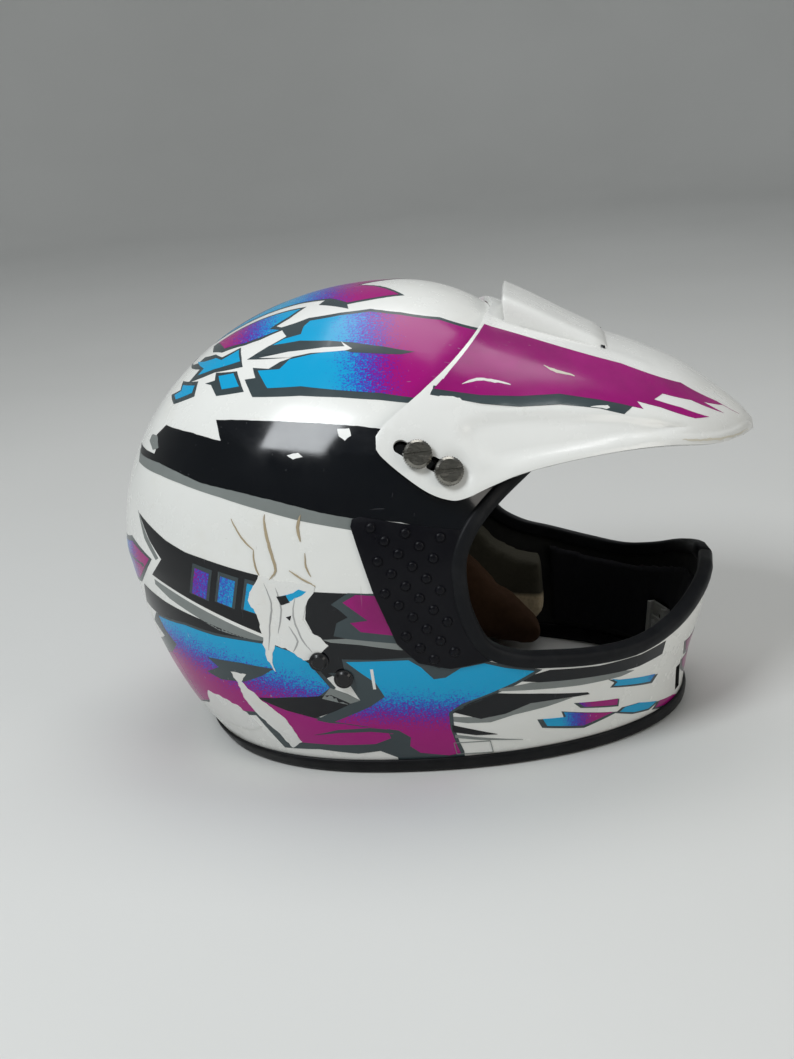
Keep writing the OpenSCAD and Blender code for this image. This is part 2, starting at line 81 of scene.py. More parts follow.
def along(p, z):
    """Smooth curve through the points p, read at z."""
    z = min(max(z, p[0][0]), p[-1][0])
    i = 0
    while i < len(p) - 2 and z > p[i + 1][0]:
        i += 1

    def slope(k):
        a, b = p[max(k - 1, 0)], p[min(k + 1, len(p) - 1)]
        return (b[1] - a[1]) / (b[0] - a[0])
    h = p[i + 1][0] - p[i][0]
    t = (z - p[i][0]) / h
    return ((2 * t ** 3 - 3 * t * t + 1) * p[i][1] + (t ** 3 - 2 * t * t + t) * h * slope(i)
            + (3 * t * t - 2 * t ** 3) * p[i + 1][1] + (t ** 3 - t * t) * h * slope(i + 1))


def ease(t):
    t = min(max(t, 0.0), 1.0)
    return t * t * (3 - 2 * t)


def power(v, e):
    return math.copysign(abs(v) ** e, v)


def rise(z, o=0.0):
    r = min(max((z - WAIST) / (CROWN - o - WAIST), 0.0), 1.0)
    return max(1 - r ** RISE_POW, 0.0) ** (1 / RISE_POW)


def back_at(z, o=0.0):
    return MID + (BACK + o - MID) * rise(z, o) if z >= WAIST else along(BACK_LINE, z) + o


def side_at(z, o=0.0):
    return (HALF - o) * rise(z, o) if z >= WAIST else along(SIDE_LINE, z) - o


def front_at(z, o=0.0):
    t = ease((z - CHIN_TOP) / (BROW_Z - CHIN_TOP))
    return (along(CHIN_LINE, z) - o) * (1 - t) + (MID + (BROW - o - MID) * rise(z, o)) * t


def skin(a, z, o=0.0):
    c, s = math.cos(math.radians(a)), math.sin(math.radians(a))
    e = 2 / (FRONT_POW if c > 0 else BACK_POW)
    reach = front_at(z, o) - MID if c > 0 else MID - back_at(z, o)
    return Vector((MID + reach * power(c, e), side_at(z, o) * power(s, e), z))


def angle_at(x, z):
    """Section angle on the left side at which the skin has this x."""
    if x > MID:
        return math.degrees(math.acos(min((x - MID) / (front_at(z) - MID), 1.0) ** (FRONT_POW / 2)))
    return 180 - math.degrees(math.acos(min((MID - x) / (MID - back_at(z)), 1.0) ** (BACK_POW / 2)))


def level(z):
    """Height as an even measure up the form: degrees above the waist, or the same spacing below it."""
    if z < WAIST:
        return (z - WAIST) / LEVEL_STEP
    return math.degrees(math.asin(min((z - WAIST) / (CROWN - WAIST), 1.0)))


def height(v):
    """Height that a level stands for."""
    if v < 0:
        return WAIST + LEVEL_STEP * v
    return WAIST + (CROWN - WAIST) * math.sin(math.radians(min(v, 90.0)))


def skin_normal(a, z):
    a = min(max(a, -180.0), 180.0)
    zz = min(z, CROWN - 0.6)
    n = (skin(a + 0.4, zz) - skin(a - 0.4, zz)).cross(skin(a, zz + 0.4) - skin(a, zz - 0.4))
    return n.normalized() if n.length > 1e-9 else Vector((0, 0, 1))


def on_skin(p, lift=0.0):
    """Point on the skin from (angle, level), lifted along the normal."""
    z = height(p[1])
    return skin(p[0], z) + lift * skin_normal(p[0], z)


def from_side(p, left=False):
    """(angle, level) of a side-view point (x, z)."""
    a = angle_at(p[0], p[1])
    return (a if left else -a, level(p[1]))


def from_top(p, left=False):
    """(angle, level) of a top-view point (x, y) on the crown; the sign of y is set by the side."""
    lo, hi = WAIST, CROWN
    a = 0.0
    for _ in range(40):
        z = (lo + hi) / 2
        reach, e = (front_at(z) - MID, FRONT_POW) if p[0] > MID else (MID - back_at(z), BACK_POW)
        u, w = abs(p[0] - MID) / max(reach, 1e-6), abs(p[1]) / max(side_at(z), 1e-6)
        if u ** e + w ** e > 1:
            hi = z
        else:
            lo = z
        a = math.degrees(math.atan2(w ** (e / 2), u ** (e / 2)))
    if p[0] < MID:
        a = 180 - a
    return (a if left else -a, level(lo))


def round_line(p, n):
    """Catmull-Rom curve through points of any dimension."""
    p = [Vector(q) for q in p]
    out = []
    for i in range(len(p) - 1):
        a, b, c, d = p[max(i - 1, 0)], p[i], p[i + 1], p[min(i + 2, len(p) - 1)]
        for k in range(n):
            t = k / n
            out.append(0.5 * (2 * b + (c - a) * t + (2 * a - 5 * b + 4 * c - d) * t * t
                              + (3 * b - a - 3 * c + d) * t ** 3))
    return out + [p[-1]]


# ---------------------------------------------------------------- mesh helpers
def link(name, mesh):
    o = bpy.data.objects.new(name, mesh)
    bpy.context.scene.collection.objects.link(o)
    return o


def mesh_object(name, verts, faces, mat):
    """Smooth-shaded mesh object from points in millimetres."""
    m = bpy.data.meshes.new(name)
    m.from_pydata([tuple(Vector(v) * MM) for v in verts], [], faces)
    m.validate()
    m.materials.append(mat)
    m.polygons.foreach_set("use_smooth", [True] * len(m.polygons))
    return link(name, m)


def apply_all(o):
    bpy.context.view_layer.update()
    deps = bpy.context.evaluated_depsgraph_get()
    m = bpy.data.meshes.new_from_object(o.evaluated_get(deps))
    o.modifiers.clear()
    o.data = m
    return o


def join(name, parts):
    """One mesh object from several, keeping each one's material."""
    bm = bmesh.new()
    mats = []
    for p in parts:
        tmp = p.data.copy()
        tmp.transform(p.matrix_world)
        slots = []
        for m in tmp.materials:
            if m not in mats:
                mats.append(m)
            slots.append(mats.index(m))
        start = len(bm.faces)
        bm.from_mesh(tmp)
        bm.faces.ensure_lookup_table()
        for f in bm.faces[start:]:
            f.material_index = slots[f.material_index] if slots else 0
        bpy.data.meshes.remove(tmp)
        bpy.data.objects.remove(p)
    m = bpy.data.meshes.new(name)
    bm.to_mesh(m)
    bm.free()
    for mat in mats:
        m.materials.append(mat)
    return link(name, m)


def face_outwards(bm):
    """Turns the faces of a bmesh to look outwards."""
    bmesh.ops.recalc_face_normals(bm, faces=bm.faces[:])


def place(o, node, body="helmet"):
    """Stands a visible piece in for a CAD node, on the body that carries it."""
    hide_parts(node)
    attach(o, body)


def inside(p, ring):
    hit = False
    j = len(ring) - 1
    for i in range(len(ring)):
        a, b = ring[i], ring[j]
        if (a[1] > p[1]) != (b[1] > p[1]) and p[0] < (b[0] - a[0]) * (p[1] - a[1]) / (b[1] - a[1]) + a[0]:
            hit = not hit
        j = i
    return hit


def gap(p, ring):
    best = 1e9
    for i in range(len(ring)):
        a, b = ring[i - 1], ring[i]
        dx, dy = b[0] - a[0], b[1] - a[1]
        l = dx * dx + dy * dy
        t = 0 if l == 0 else min(max(((p[0] - a[0]) * dx + (p[1] - a[1]) * dy) / l, 0), 1)
        best = min(best, (p[0] - a[0] - t * dx) ** 2 + (p[1] - a[1] - t * dy) ** 2)
    return math.sqrt(best)


def split(ring, step):
    out = []
    for i in range(len(ring)):
        a, b = ring[i], ring[(i + 1) % len(ring)]
        n = max(int(math.ceil(math.hypot(b[0] - a[0], b[1] - a[1]) / step)), 1)
        out += [(a[0] + (b[0] - a[0]) * k / n, a[1] + (b[1] - a[1]) * k / n) for k in range(n)]
    return out


def patch(name, ring, lay, mat, cell, holes=(), stretch=SHELL_STRETCH):
    """Fills the closed ring with a fine mesh in its own plane and lays it on a surface with lay(point).
    stretch is how wide a unit of the first coordinate is against the second, so cells come out even."""
    scaled = [[(x * stretch, y) for x, y in r] for r in [ring, *holes]]
    rings = [split(r, cell) for r in scaled]
    pts = [p for r in rings for p in r]
    faces, at = [], 0
    for r in rings:
        faces.append(list(range(at, at + len(r))))
        at += len(r)
    edges = [(f[i - 1], f[i]) for f in faces for i in range(len(f))]
    xs, ys = [p[0] for p in rings[0]], [p[1] for p in rings[0]]
    row, y = 0, min(ys) + cell * 0.5
    while y < max(ys):
        x = min(xs) + cell * (0.5 if row % 2 else 0.0)
        while x < max(xs):
            if inside((x, y), rings[0]) and not any(inside((x, y), h) for h in rings[1:]) \
                    and all(gap((x, y), r) > cell * 0.45 for r in scaled):
                pts.append((x, y))
            x += cell
        y += cell * 0.87
        row += 1
    v, _, f, _, _, _ = delaunay_2d_cdt([Vector(p) for p in pts], edges, [], 0, 1e-5)
    keep = []
    for t in f:
        c = (sum(v[i][0] for i in t) / len(t), sum(v[i][1] for i in t) / len(t))
        if inside(c, rings[0]) and not any(inside(c, h) for h in rings[1:]):
            keep.append(t)
    used = sorted({i for t in keep for i in t})
    back = {i: k for k, i in enumerate(used)}
    return mesh_object(name, [lay((v[i][0] / stretch, v[i][1])) for i in used],
                       [[back[i] for i in t] for t in keep], mat)


def face_out(o, centre):
    """Turns the mesh's faces so that most look away from the centre."""
    bm = bmesh.new()
    bm.from_mesh(o.data)
    c = Vector(centre) * MM
    if sum((f.calc_center_median() - c).dot(f.normal) * f.calc_area() for f in bm.faces) < 0:
        bmesh.ops.reverse_faces(bm, faces=bm.faces[:])
    bm.to_mesh(o.data)
    bm.free()
    return o


def solid(o, thick, centre, bevel=0.0, segments=2, inner=None):
    """Gives a sheet its thickness, with crisp edges; inner is the material of the far face."""
    face_out(o, centre)
    s = o.modifiers.new("thick", "SOLIDIFY")
    s.thickness = thick * MM
    s.offset = -1
    if inner:
        o.data.materials.append(inner)
        s.material_offset = s.material_offset_rim = 1
    if bevel:
        b = o.modifiers.new("edge", "BEVEL")
        b.width = bevel * MM
        b.segments = segments
        b.limit_method = "ANGLE"
        b.angle_limit = math.radians(50)
    apply_all(o)
    if not bevel:
        o.data.set_sharp_from_angle(angle=math.radians(45))
    return o


def sweep(name, rings, mat, closed=True, caps=False):
    """Skin over a row of equal rings; closed joins the last ring to the first."""
    n, m = len(rings[0]), len(rings)
    faces = []
    for k in range(m if closed else m - 1):
        for i in range(n):
            j, l = (i + 1) % n, (k + 1) % m
            faces.append([k * n + i, l * n + i, l * n + j, k * n + j])
    if caps:
        faces += [list(range(n)), [(m - 1) * n + i for i in reversed(range(n))]]
    o = mesh_object(name, [p for r in rings for p in r], faces, mat)
    bm = bmesh.new()
    bm.from_mesh(o.data)
    face_outwards(bm)
    bm.to_mesh(o.data)
    bm.free()
    return o


# ---------------------------------------------------------------- materials
class Mat:
    """A node material with a principled shader and a few ways to add to it."""

    def __init__(self, name, colour, rough, metal=0.0, **sockets):
        self.m = bpy.data.materials.new(name)
        self.m.use_nodes = True
        self.nt = self.m.node_tree
        self.b = self.nt.nodes["Principled BSDF"]
        self.b.inputs["Base Color"].default_value = (*colour, 1)
        self.b.inputs["Roughness"].default_value = rough
        self.b.inputs["Metallic"].default_value = metal
        for k, v in sockets.items():
            self.b.inputs[k.replace("_", " ")].default_value = v
        self.where = self.node("ShaderNodeTexCoord").outputs["Object"]
        self.height = None

    def node(self, kind, **inputs):
        n = self.nt.nodes.new(kind)
        for k, v in inputs.items():
            self.put(n.inputs[k.replace("_", " ")], v)
        return n

    def put(self, socket, v):
        if isinstance(v, bpy.types.NodeSocket):
            self.nt.links.new(v, socket)
        else:
            socket.default_value = v

    def stretch(self, scale, turn=(0, 0, 0)):
        n = self.node("ShaderNodeMapping", Vector=self.where)
        n.inputs["Scale"].default_value = scale
        n.inputs["Rotation"].default_value = turn
        return n.outputs["Vector"]

    def noise(self, scale, detail=3.0, rough=0.5, vector=None):
        n = self.node("ShaderNodeTexNoise", Vector=vector or self.where, Scale=scale, Detail=detail,
                      Roughness=rough)
        return n.outputs["Fac"]

    def cells(self, scale):
        return self.node("ShaderNodeTexVoronoi", Vector=self.where, Scale=scale).outputs["Distance"]

    def ramp(self, fac, stops):
        n = self.node("ShaderNodeValToRGB", Fac=fac)
        r = n.color_ramp
        while len(r.elements) < len(stops):
            r.elements.new(0.5)
        for e, (p, c) in zip(r.elements, stops):
            e.position = p
            e.color = (*c, 1) if len(c) == 3 else c
        return n.outputs["Color"]

    def math(self, op, a, b=0.0, c=0.0):
        n = self.nt.nodes.new("ShaderNodeMath")
        n.operation = op
        for s, v in zip(n.inputs, (a, b, c)):
            self.put(s, v)
        return n.outputs[0]

    def mix(self, fac, a, b):
        n = self.nt.nodes.new("ShaderNodeMix")
        n.data_type = "RGBA"
        self.put(n.inputs["Factor"], fac)
        for s, v in ((n.inputs[6], a), (n.inputs[7], b)):
            self.put(s, (*v, 1) if isinstance(v, tuple) and len(v) == 3 else v)
        return n.outputs[2]

    def colour(self, v):
        self.put(self.b.inputs["Base Color"], v)
        return self

    def rough(self, v):
        self.put(self.b.inputs["Roughness"], v)
        return self

    def bump(self, v, strength=0.3, distance=0.0005):
        n = self.node("ShaderNodeBump", Height=v, Strength=strength, Distance=distance)
        if self.height:
            self.nt.links.new(self.height, n.inputs["Normal"])
        self.height = n.outputs["Normal"]
        self.nt.links.new(self.height, self.b.inputs["Normal"])
        return self


def grey(v):
    return (v, v, v)


def scratched(m, base, worn, amount=0.72, wear_rough=0.5, gloss=0.16):
    """Fine long scratches and soft scuffs over a glossy colour; base may be a socket."""
    long = m.noise(1.0, 2.0, 0.6, m.stretch((420, 420, 26), (0.25, 0.5, 0.1)))
    cross = m.noise(1.0, 2.0, 0.6, m.stretch((30, 380, 500), (0.6, 0.2, 0.4)))
    patchy = m.ramp(m.noise(14, 4), [(0.42, grey(0)), (0.62, grey(1))])
    marks = m.math("MAXIMUM", m.ramp(long, [(amount, grey(0)), (amount + 0.04, grey(1))]),
                   m.ramp(cross, [(amount + 0.01, grey(0)), (amount + 0.05, grey(1))]))
    marks = m.math("MULTIPLY", marks, patchy)
    m.colour(m.mix(m.math("MULTIPLY", marks, 0.55), base, worn))
    scuff = m.ramp(m.noise(60, 5, 0.65), [(0.3, grey(gloss)), (0.75, grey(gloss + 0.12))])
    m.rough(m.math("MAXIMUM", m.math("MULTIPLY", marks, wear_rough), scuff))
    m.bump(m.math("MULTIPLY", marks, -1.0), 0.25, 0.0002)
    m.bump(m.noise(9, 1), 0.05, 0.002)
    return m.m


def paint(name, colour, dark=0.78, gloss=0.16, worn=None):
    m = Mat(name, colour, gloss, Coat_Weight=0.12, Coat_Roughness=0.08, Specular_IOR_Level=0.32)
    tint = m.ramp(m.noise(22, 4, 0.6), [(0.3, tuple(c * dark for c in colour)), (0.7, colour)])
    return scratched(m, tint, worn or tuple(min(c * 0.6 + 0.10, 1) for c in colour), gloss=gloss)


CYAN, BLUE = (0.0, 0.33, 0.60), (0.02, 0.09, 0.50)
PURPLE, MAGENTA = (0.10, 0.01, 0.34), (0.33, 0.0, 0.165)
SLATE, STONE = (0.045, 0.064, 0.070), (0.22, 0.24, 0.23)
INK, BONE = (0.002, 0.003, 0.005), (0.80, 0.80, 0.765)


def fade(name, aim, centre, half, flip=False, grain=1.0):
    """Cyan to magenta print with a speckled change between them, along the side-view direction aim."""
    m = Mat(name, CYAN, 0.18, Coat_Weight=0.12, Coat_Roughness=0.08, Specular_IOR_Level=0.32)
    xyz = m.node("ShaderNodeSeparateXYZ", Vector=m.where)
    l = math.hypot(*aim)
    t = m.math("ADD", m.math("MULTIPLY", xyz.outputs["X"], aim[0] / l / MM),
               m.math("MULTIPLY", xyz.outputs["Z"], aim[1] / l / MM))
    t = m.math("DIVIDE", m.math("SUBTRACT", t, centre - half), 2.0 * half)
    if flip:
        t = m.math("SUBTRACT", 1.0, t)
    speck = m.math("SUBTRACT", m.noise(1150, 1.5, 0.5), 0.5)
    t = m.math("ADD", t, m.math("MULTIPLY", speck, 1.7 * grain))
    print_ = m.ramp(t, [(0.05, CYAN), (0.38, BLUE), (0.62, PURPLE), (0.95, MAGENTA)])
    return scratched(m, print_, (0.35, 0.42, 0.48))


def paint_white(name, base=BONE, stain=(0.60, 0.54, 0.40)):
    m = Mat(name, base, 0.2, Coat_Weight=0.2, Coat_Roughness=0.1)
    soft = m.ramp(m.noise(7, 5, 0.6), [(0.35, tuple(c * 0.94 for c in base)), (0.65, base)])
    spots = m.ramp(m.noise(130, 6, 0.7), [(0.70, grey(0)), (0.80, grey(0.6))])
    grime = m.ramp(m.noise(16, 6, 0.7), [(0.55, grey(0)), (0.85, grey(0.28))])
    tint = m.mix(m.math("MAXIMUM", spots, grime), soft, stain)
    return scratched(m, tint, (0.42, 0.40, 0.36), amount=0.74, gloss=0.2)


def rubber(name, colour=(0.005, 0.0055, 0.007), rough=0.42, dust=0.03):
    m = Mat(name, colour, rough, Specular_IOR_Level=0.16)
    dusty = m.ramp(m.noise(45, 6, 0.7), [(0.45, colour), (0.85, tuple(c + dust * 0.35 for c in colour))])
    m.colour(dusty).rough(m.ramp(m.noise(80, 4), [(0.3, grey(rough)), (0.8, grey(rough + 0.2))]))
    m.bump(m.noise(900, 4, 0.6), 0.12, 0.0002).bump(m.noise(120, 3), 0.10, 0.0006)
    return m.m


def cloth(name, a, b, scale=900, fuzz=0.5, sheen=0.6):
    """Knitted or woven cloth: crossed threads, colour that varies from tuft to tuft, and sheen."""
    m = Mat(name, a, 0.9, Sheen_Weight=sheen * 0.4, Sheen_Roughness=0.45, Specular_IOR_Level=0.1)
    m.b.inputs["Sheen Tint"].default_value = (*[min(c * 2.5 + 0.05, 1) for c in b], 1)
    warp = m.node("ShaderNodeTexWave", Vector=m.where, Scale=scale, Distortion=1.2, Detail=1.0)
    warp.bands_direction = "X"
    weft = m.node("ShaderNodeTexWave", Vector=m.where, Scale=scale, Distortion=1.2, Detail=1.0)
    weft.bands_direction = "Z"
    weave = m.math("MULTIPLY", warp.outputs["Fac"], weft.outputs["Fac"])
    tufts = m.noise(240, 5, 0.7)
    m.colour(m.mix(m.math("ADD", m.math("MULTIPLY", weave, 0.5), m.math("MULTIPLY", tufts, 0.5)), a, b))
    m.bump(tufts, fuzz, 0.0006).bump(weave, 0.5, 0.0003)
    return m.m


def bead_foam(name, a, b, scale=340, above=None, at=0.0):
    """Foam of fused beads; above is a colour of painted shade, laid over the foam from the height at upwards.
    """
    m = Mat(name, a, 0.85, Specular_IOR_Level=0.2)
    cell = m.cells(scale)
    tint = m.mix(m.math("ADD", m.math("MULTIPLY", cell, 0.8), m.math("MULTIPLY", m.noise(12, 4), 0.5)), a, b)
    if above:
        # painted shade: from the height at upwards the foam takes the dark colour above
        z = m.node("ShaderNodeSeparateXYZ", Vector=m.where).outputs["Z"]
        up = m.math("ADD", m.math("MULTIPLY", m.math("SUBTRACT", z, at * MM), 150.0),
                    m.math("MULTIPLY", m.noise(40, 3), 0.6))
        tint = m.mix(m.ramp(up, [(0.3, grey(0)), (0.7, grey(1))]), tint, above)
    m.colour(tint)
    m.bump(cell, 0.35, 0.0006).bump(m.noise(25, 3), 0.2, 0.001)
    return m.m


def metal(name, colour, rough, scale=(30, 900, 900), grime=(0.05, 0.045, 0.04), dirty=0.5):
    m = Mat(name, colour, rough, 1.0)
    brushed = m.noise(1.0, 3, 0.6, m.stretch(scale))
    dirt = m.ramp(m.noise(260, 5, 0.7), [(0.45, grey(0)), (0.8, grey(dirty))])
    m.colour(m.mix(dirt, m.ramp(brushed, [(0.3, tuple(c * 0.7 for c in colour)), (0.7, colour)]), grime))
    m.rough(m.math("ADD", m.math("MULTIPLY", dirt, 0.4), m.math("MULTIPLY", brushed, rough)))
    m.bump(brushed, 0.15, 0.0002)
    return m.m


def webbing_mat(name, a, b):
    m = Mat(name, a, 0.8, Sheen_Weight=0.4, Sheen_Roughness=0.5)
    slant = m.stretch((1, 1, 1), (0, 0, 0.785))
    ribs = m.node("ShaderNodeTexWave", Vector=slant, Scale=420.0, Distortion=0.3)
    cross = m.node("ShaderNodeTexWave", Vector=m.where, Scale=520.0)
    cross.bands_direction = "Y"
    weave = m.math("MULTIPLY", ribs.outputs["Fac"], cross.outputs["Fac"])
    m.colour(m.mix(weave, a, b)).bump(weave, 0.7, 0.0004)
    return m.m


def plastic(name, colour, rough=0.4):
    m = Mat(name, colour, rough)
    m.colour(m.ramp(m.noise(50, 5, 0.65), [(0.35, tuple(c * 0.75 for c in colour)), (0.7, colour)]))
    m.rough(m.ramp(m.noise(200, 4), [(0.3, grey(rough)), (0.7, grey(rough + 0.15))]))
    m.bump(m.noise(700, 3), 0.08, 0.0002)
    return m.m


SHELL_WHITE = paint_white("shell_white")
PEAK_WHITE = paint_white("peak_white", (0.80, 0.80, 0.77))
TORN_WHITE = paint_white("torn_white", (0.76, 0.76, 0.73), (0.62, 0.50, 0.33))
RAW_SHELL = plastic("raw_laminate", (0.010, 0.010, 0.010), 0.7)
CRACK = paint("crack_edge", (0.42, 0.34, 0.22), gloss=0.5)
BLACK = paint("stripe_black", INK, gloss=0.07, worn=(0.12, 0.12, 0.13))
SLATE_M = paint("shadow_slate", SLATE)
STONE_M = paint("line_grey", STONE)
FOLD = paint("fold_shade", (0.42, 0.42, 0.41), gloss=0.4)
MAGENTA_M = paint("print_magenta", MAGENTA, dark=0.66)
CREAM_M = paint("rim_cream", (0.66, 0.62, 0.52), gloss=0.3)
TRIM = rubber("port_rubber")
NECK_RUBBER = rubber("neck_rubber", (0.004, 0.004, 0.005), 0.35)
GRIP = rubber("grip_rubber_dots", (0.003, 0.003, 0.005), 0.27, 0.01)
FOAM_DARK = bead_foam("bead_foam_dark", (0.045, 0.045, 0.034), (0.13, 0.125, 0.09))
# cheek foam: beige below, with painted shade over it from 31 mm upwards
FOAM_BEIGE_PAINTED_SHADE = bead_foam("foam_beige_painted_shade", (0.40, 0.31, 0.19), (0.60, 0.50, 0.34), 500, (0.05, 0.047, 0.034), 31)
LINING = cloth("lining_knit", (0.010, 0.009, 0.009), (0.05, 0.042, 0.038))
PAD_BROWN = cloth("pad_brown", (0.028, 0.013, 0.007), (0.10, 0.055, 0.032), 1100)
CHIN_CLOTH = cloth("chin_knit", (0.004, 0.004, 0.005), (0.022, 0.022, 0.026), 1000)
SCREW = metal("screw_alloy", (0.30, 0.29, 0.26), 0.36, dirty=0.7)
STEEL = metal("bracket_plate", (0.52, 0.52, 0.50), 0.32)
RING = metal("ring_plate", (0.68, 0.68, 0.68), 0.16, dirty=0.25)
BRASS = metal("insert_turned", (0.60, 0.42, 0.18), 0.3)
RIVET = paint("rivet_black", (0.006, 0.006, 0.007), gloss=0.25)
VENT = plastic("vent_grey", (0.46, 0.46, 0.43))
STRAP = webbing_mat("strap_weave", (0.006, 0.006, 0.008), (0.045, 0.045, 0.05))

# ---------------------------------------------------------------- shell
port_side = [Vector(p) for p in round_line([(*p, 0) for p in PORT_LINE], 5)]


def port_ring(d):
    """The port's edge as (angle, level) all the way round, drawn in by d from the trim's outer edge."""
    n = len(port_side)
    side = []
    for i, p in enumerate(port_side):
        t = (port_side[min(i + 1, n - 1)] - port_side[max(i - 1, 0)]).normalized()
        side.append((p.x - d * t.y, p.y + d * t.x))
    right = [from_side(q) for q in side[1:-1]]
    left = [(-a, v) for a, v in reversed(right)]
    return [(0.0, level(side[0][1]))] + right + [(0.0, level(side[-1][1]))] + left


vent_hole = [from_side((x, z)) for x, z in ((128.6, 12.6), (131.2, 12.6), (131.6, 29.4), (129.0, 29.4))]
rim_level, top_level = level(RIM_Z), 88.6      # the shell's last ring stops short of the crown's point
shell_ring = [(-180, rim_level), (180, rim_level), (180, top_level), (-180, top_level)]
holes = [port_ring(5.0)] + [[(s * a, v) for a, v in vent_hole] for s in (1, -1)]
shell = patch("helmet_shell", shell_ring, on_skin, SHELL_WHITE, 2.0, holes)
bm = bmesh.new()
bm.from_mesh(shell.data)
bmesh.ops.remove_doubles(bm, verts=bm.verts[:], dist=0.05 * MM)
cap = [e for e in bm.edges if e.is_boundary and min(v.co.z for v in e.verts) > 0.24]
if cap:
    apex = bm.verts.new(Vector((MID, 0, CROWN)) * MM)
    for e in cap:
        bm.faces.new((e.verts[0], e.verts[1], apex))
face_outwards(bm)
for f in bm.faces:
    f.smooth = True
bm.to_mesh(shell.data)
bm.free()
solid(shell, WALL, SHELL_CENTRE, inner=RAW_SHELL)
place(shell, "shell")

# ---------------------------------------------------------------- painted shapes
STEP, SINK = 0.06, 0.03         # height of one layer of film, and how far its back sits in the paint
EACH = 0.00025                  # rise from one shape to the next, so that no two faces coincide
decals = []


def ragged(ring, size, step=2.0):
    """Breaks an outline up as torn film does."""
    out = []
    for i, p in enumerate(split(ring, step)):
        k = noise.noise_vector(Vector((p[0] * 0.35, p[1] * 0.35, len(ring))))
        out.append((p[0] + size * k.x, p[1] + size * k.y))
    return out


def decal(name, ring, mat, layer, tear=0.0, top=False, cell=3.2):
    """A thin printed shape on both sides. The ring is in side view (x, z), or top view (x, y) if top."""
    if tear:
        ring = ragged(ring, tear)
    ring = split(ring, 5.0)
    for left in (False, True):
        r = [(from_top if top else from_side)(p, left) for p in ring]
        lift = layer * STEP + 0.04 + EACH * len(decals)
        o = patch(f"{name}_{'left' if left else 'right'}", r, lambda p: on_skin(p, lift), mat, cell * 0.5)
        decals.append(solid(o, lift + SINK, SHELL_CENTRE))


def line(points, width, taper=True):
    """A thin stroke round the points, as a closed ring."""
    p = round_line([(*q, 0) for q in points], 3)
    up, down = [], []
    for i, q in enumerate(p):
        t = (p[min(i + 1, len(p) - 1)] - p[max(i - 1, 0)]).normalized()
        w = width / 2 * (math.sin(math.pi * (i + 0.4) / len(p)) if taper else 1)
        up.append((q.x - t.y * w, q.y + t.x * w))
        down.append((q.x + t.y * w, q.y - t.x * w))
    return up + down[::-1]


band_fade = fade("fade_band", (1, 0.06), -12, 15)
rear_fade = fade("fade_rear_top", (1, 0), -89, 14, flip=True)
crown_fade = fade("fade_crown", (1, 0), -54, 18)
gem_fade = fade("fade_gem", (1, 0), -166, 7)
wing_fade = fade("fade_wing", (0.23, 0.97), 36, 12, flip=True)
cross_fade = fade("fade_cross", (0.1, 1), 41, 11, flip=True)
chip_fade = fade("fade_chip", (1, 0), 73, 9, grain=0.5)
chip_low_fade = fade("fade_chip_low", (1, 0), 120, 10, grain=0.5)
block_fade = fade("fade_blocks", (-1, 0.4), 148, 22, grain=0.8)

# crown bands
decal("crown_band", [(-116, 0), (-90, 0), (-56, 0), (-36, 0), (-24, -10), (-11, -25), (-27, -29),
    (-38, -31), (-48, -21), (-66, -14), (-84, -9), (-102, -5)], crown_fade, 2, top=True)
decal("crown_band_edge", [(-118, 0), (-102, -7), (-84, -11), (-66, -16), (-51, -22), (-54, -27), (-37, -38),
    (-38, -33), (-27, -31), (-8, -26), (-22, -9), (-34, 0)], SLATE_M, 1, top=True)
decal("rear_leaf", [(-113, -13), (-100, -16), (-87, -19), (-70, -24), (-64, -26), (-70, -32), (-80, -38),
    (-74, -43), (-84, -43), (-93, -41), (-106, -33)], rear_fade, 2, top=True)
decal("rear_leaf_edge", [(-116, -12), (-100, -14), (-87, -17), (-70, -22), (-61, -25), (-69, -34),
    (-76, -38), (-70, -44), (-84, -45), (-93, -43), (-107, -36), (-114, -26)], SLATE_M, 1, top=True)
decal("shard_upper_edge", [(-119, 214), (-111, 217), (-106, 217), (-95, 222), (-92, 215), (-109, 211),
    (-126, 204), (-120, 210), (-131, 207), (-123, 211)], SLATE_M, 1)
decal("shard_upper", [(-118, 213), (-110, 216), (-106, 216), (-96, 221), (-94, 217), (-110, 212),
    (-120, 208), (-117, 211), (-124, 211)], fade("fade_plain", (1, 0), 500, 9), 2)
plain_cyan = bpy.data.materials["fade_plain"]
decal("shard_low_edge", [(-131, 203), (-119, 206), (-120, 200), (-134, 194), (-138, 196), (-131, 200)],
    SLATE_M, 1)
decal("shard_low", [(-130, 202), (-121, 204), (-122, 201), (-133, 196), (-135, 197), (-130, 200)],
    plain_cyan, 2)
decal("shard_square_edge", [(-114, 206), (-108, 208), (-108, 211), (-95, 213), (-90, 205), (-106, 202),
    (-110, 206)], SLATE_M, 1)
decal("shard_square", [(-106, 210), (-97, 212), (-93, 207), (-103, 205)], plain_cyan, 2)
decal("main_band_edge", [(-58, 235), (-41, 237), (-25, 238), (-9, 236), (11, 232), (31, 224), (42, 216),
    (42, 190), (31, 194), (-5, 199), (-18, 201), (-39, 203), (-59, 204), (-85, 203), (-90, 210), (-84, 211),
    (-86, 215), (-77, 215), (-71, 218), (-64, 220), (-90, 218), (-78, 224), (-69, 228), (-73, 231),
    (-65, 233)], SLATE_M, 1)
decal("main_band_upper", [(-57, 234), (-41, 236), (-25, 237), (-9, 235), (11, 231), (31, 223), (42, 215),
    (42, 208), (31, 214), (-1, 220), (-16, 223), (-33, 225), (-46, 226), (-61, 226), (-77, 224), (-70, 227),
    (-61, 229), (-60, 232)], band_fade, 2)
decal("main_band_lower", [(42, 208), (42, 192), (31, 196), (-2, 201), (-18, 204), (-39, 206), (-59, 208),
    (-77, 207), (-83, 214), (-71, 215), (-66, 219), (-55, 221), (-39, 223), (-31, 222), (-20, 221),
    (-1, 220), (31, 214)], band_fade, 2)
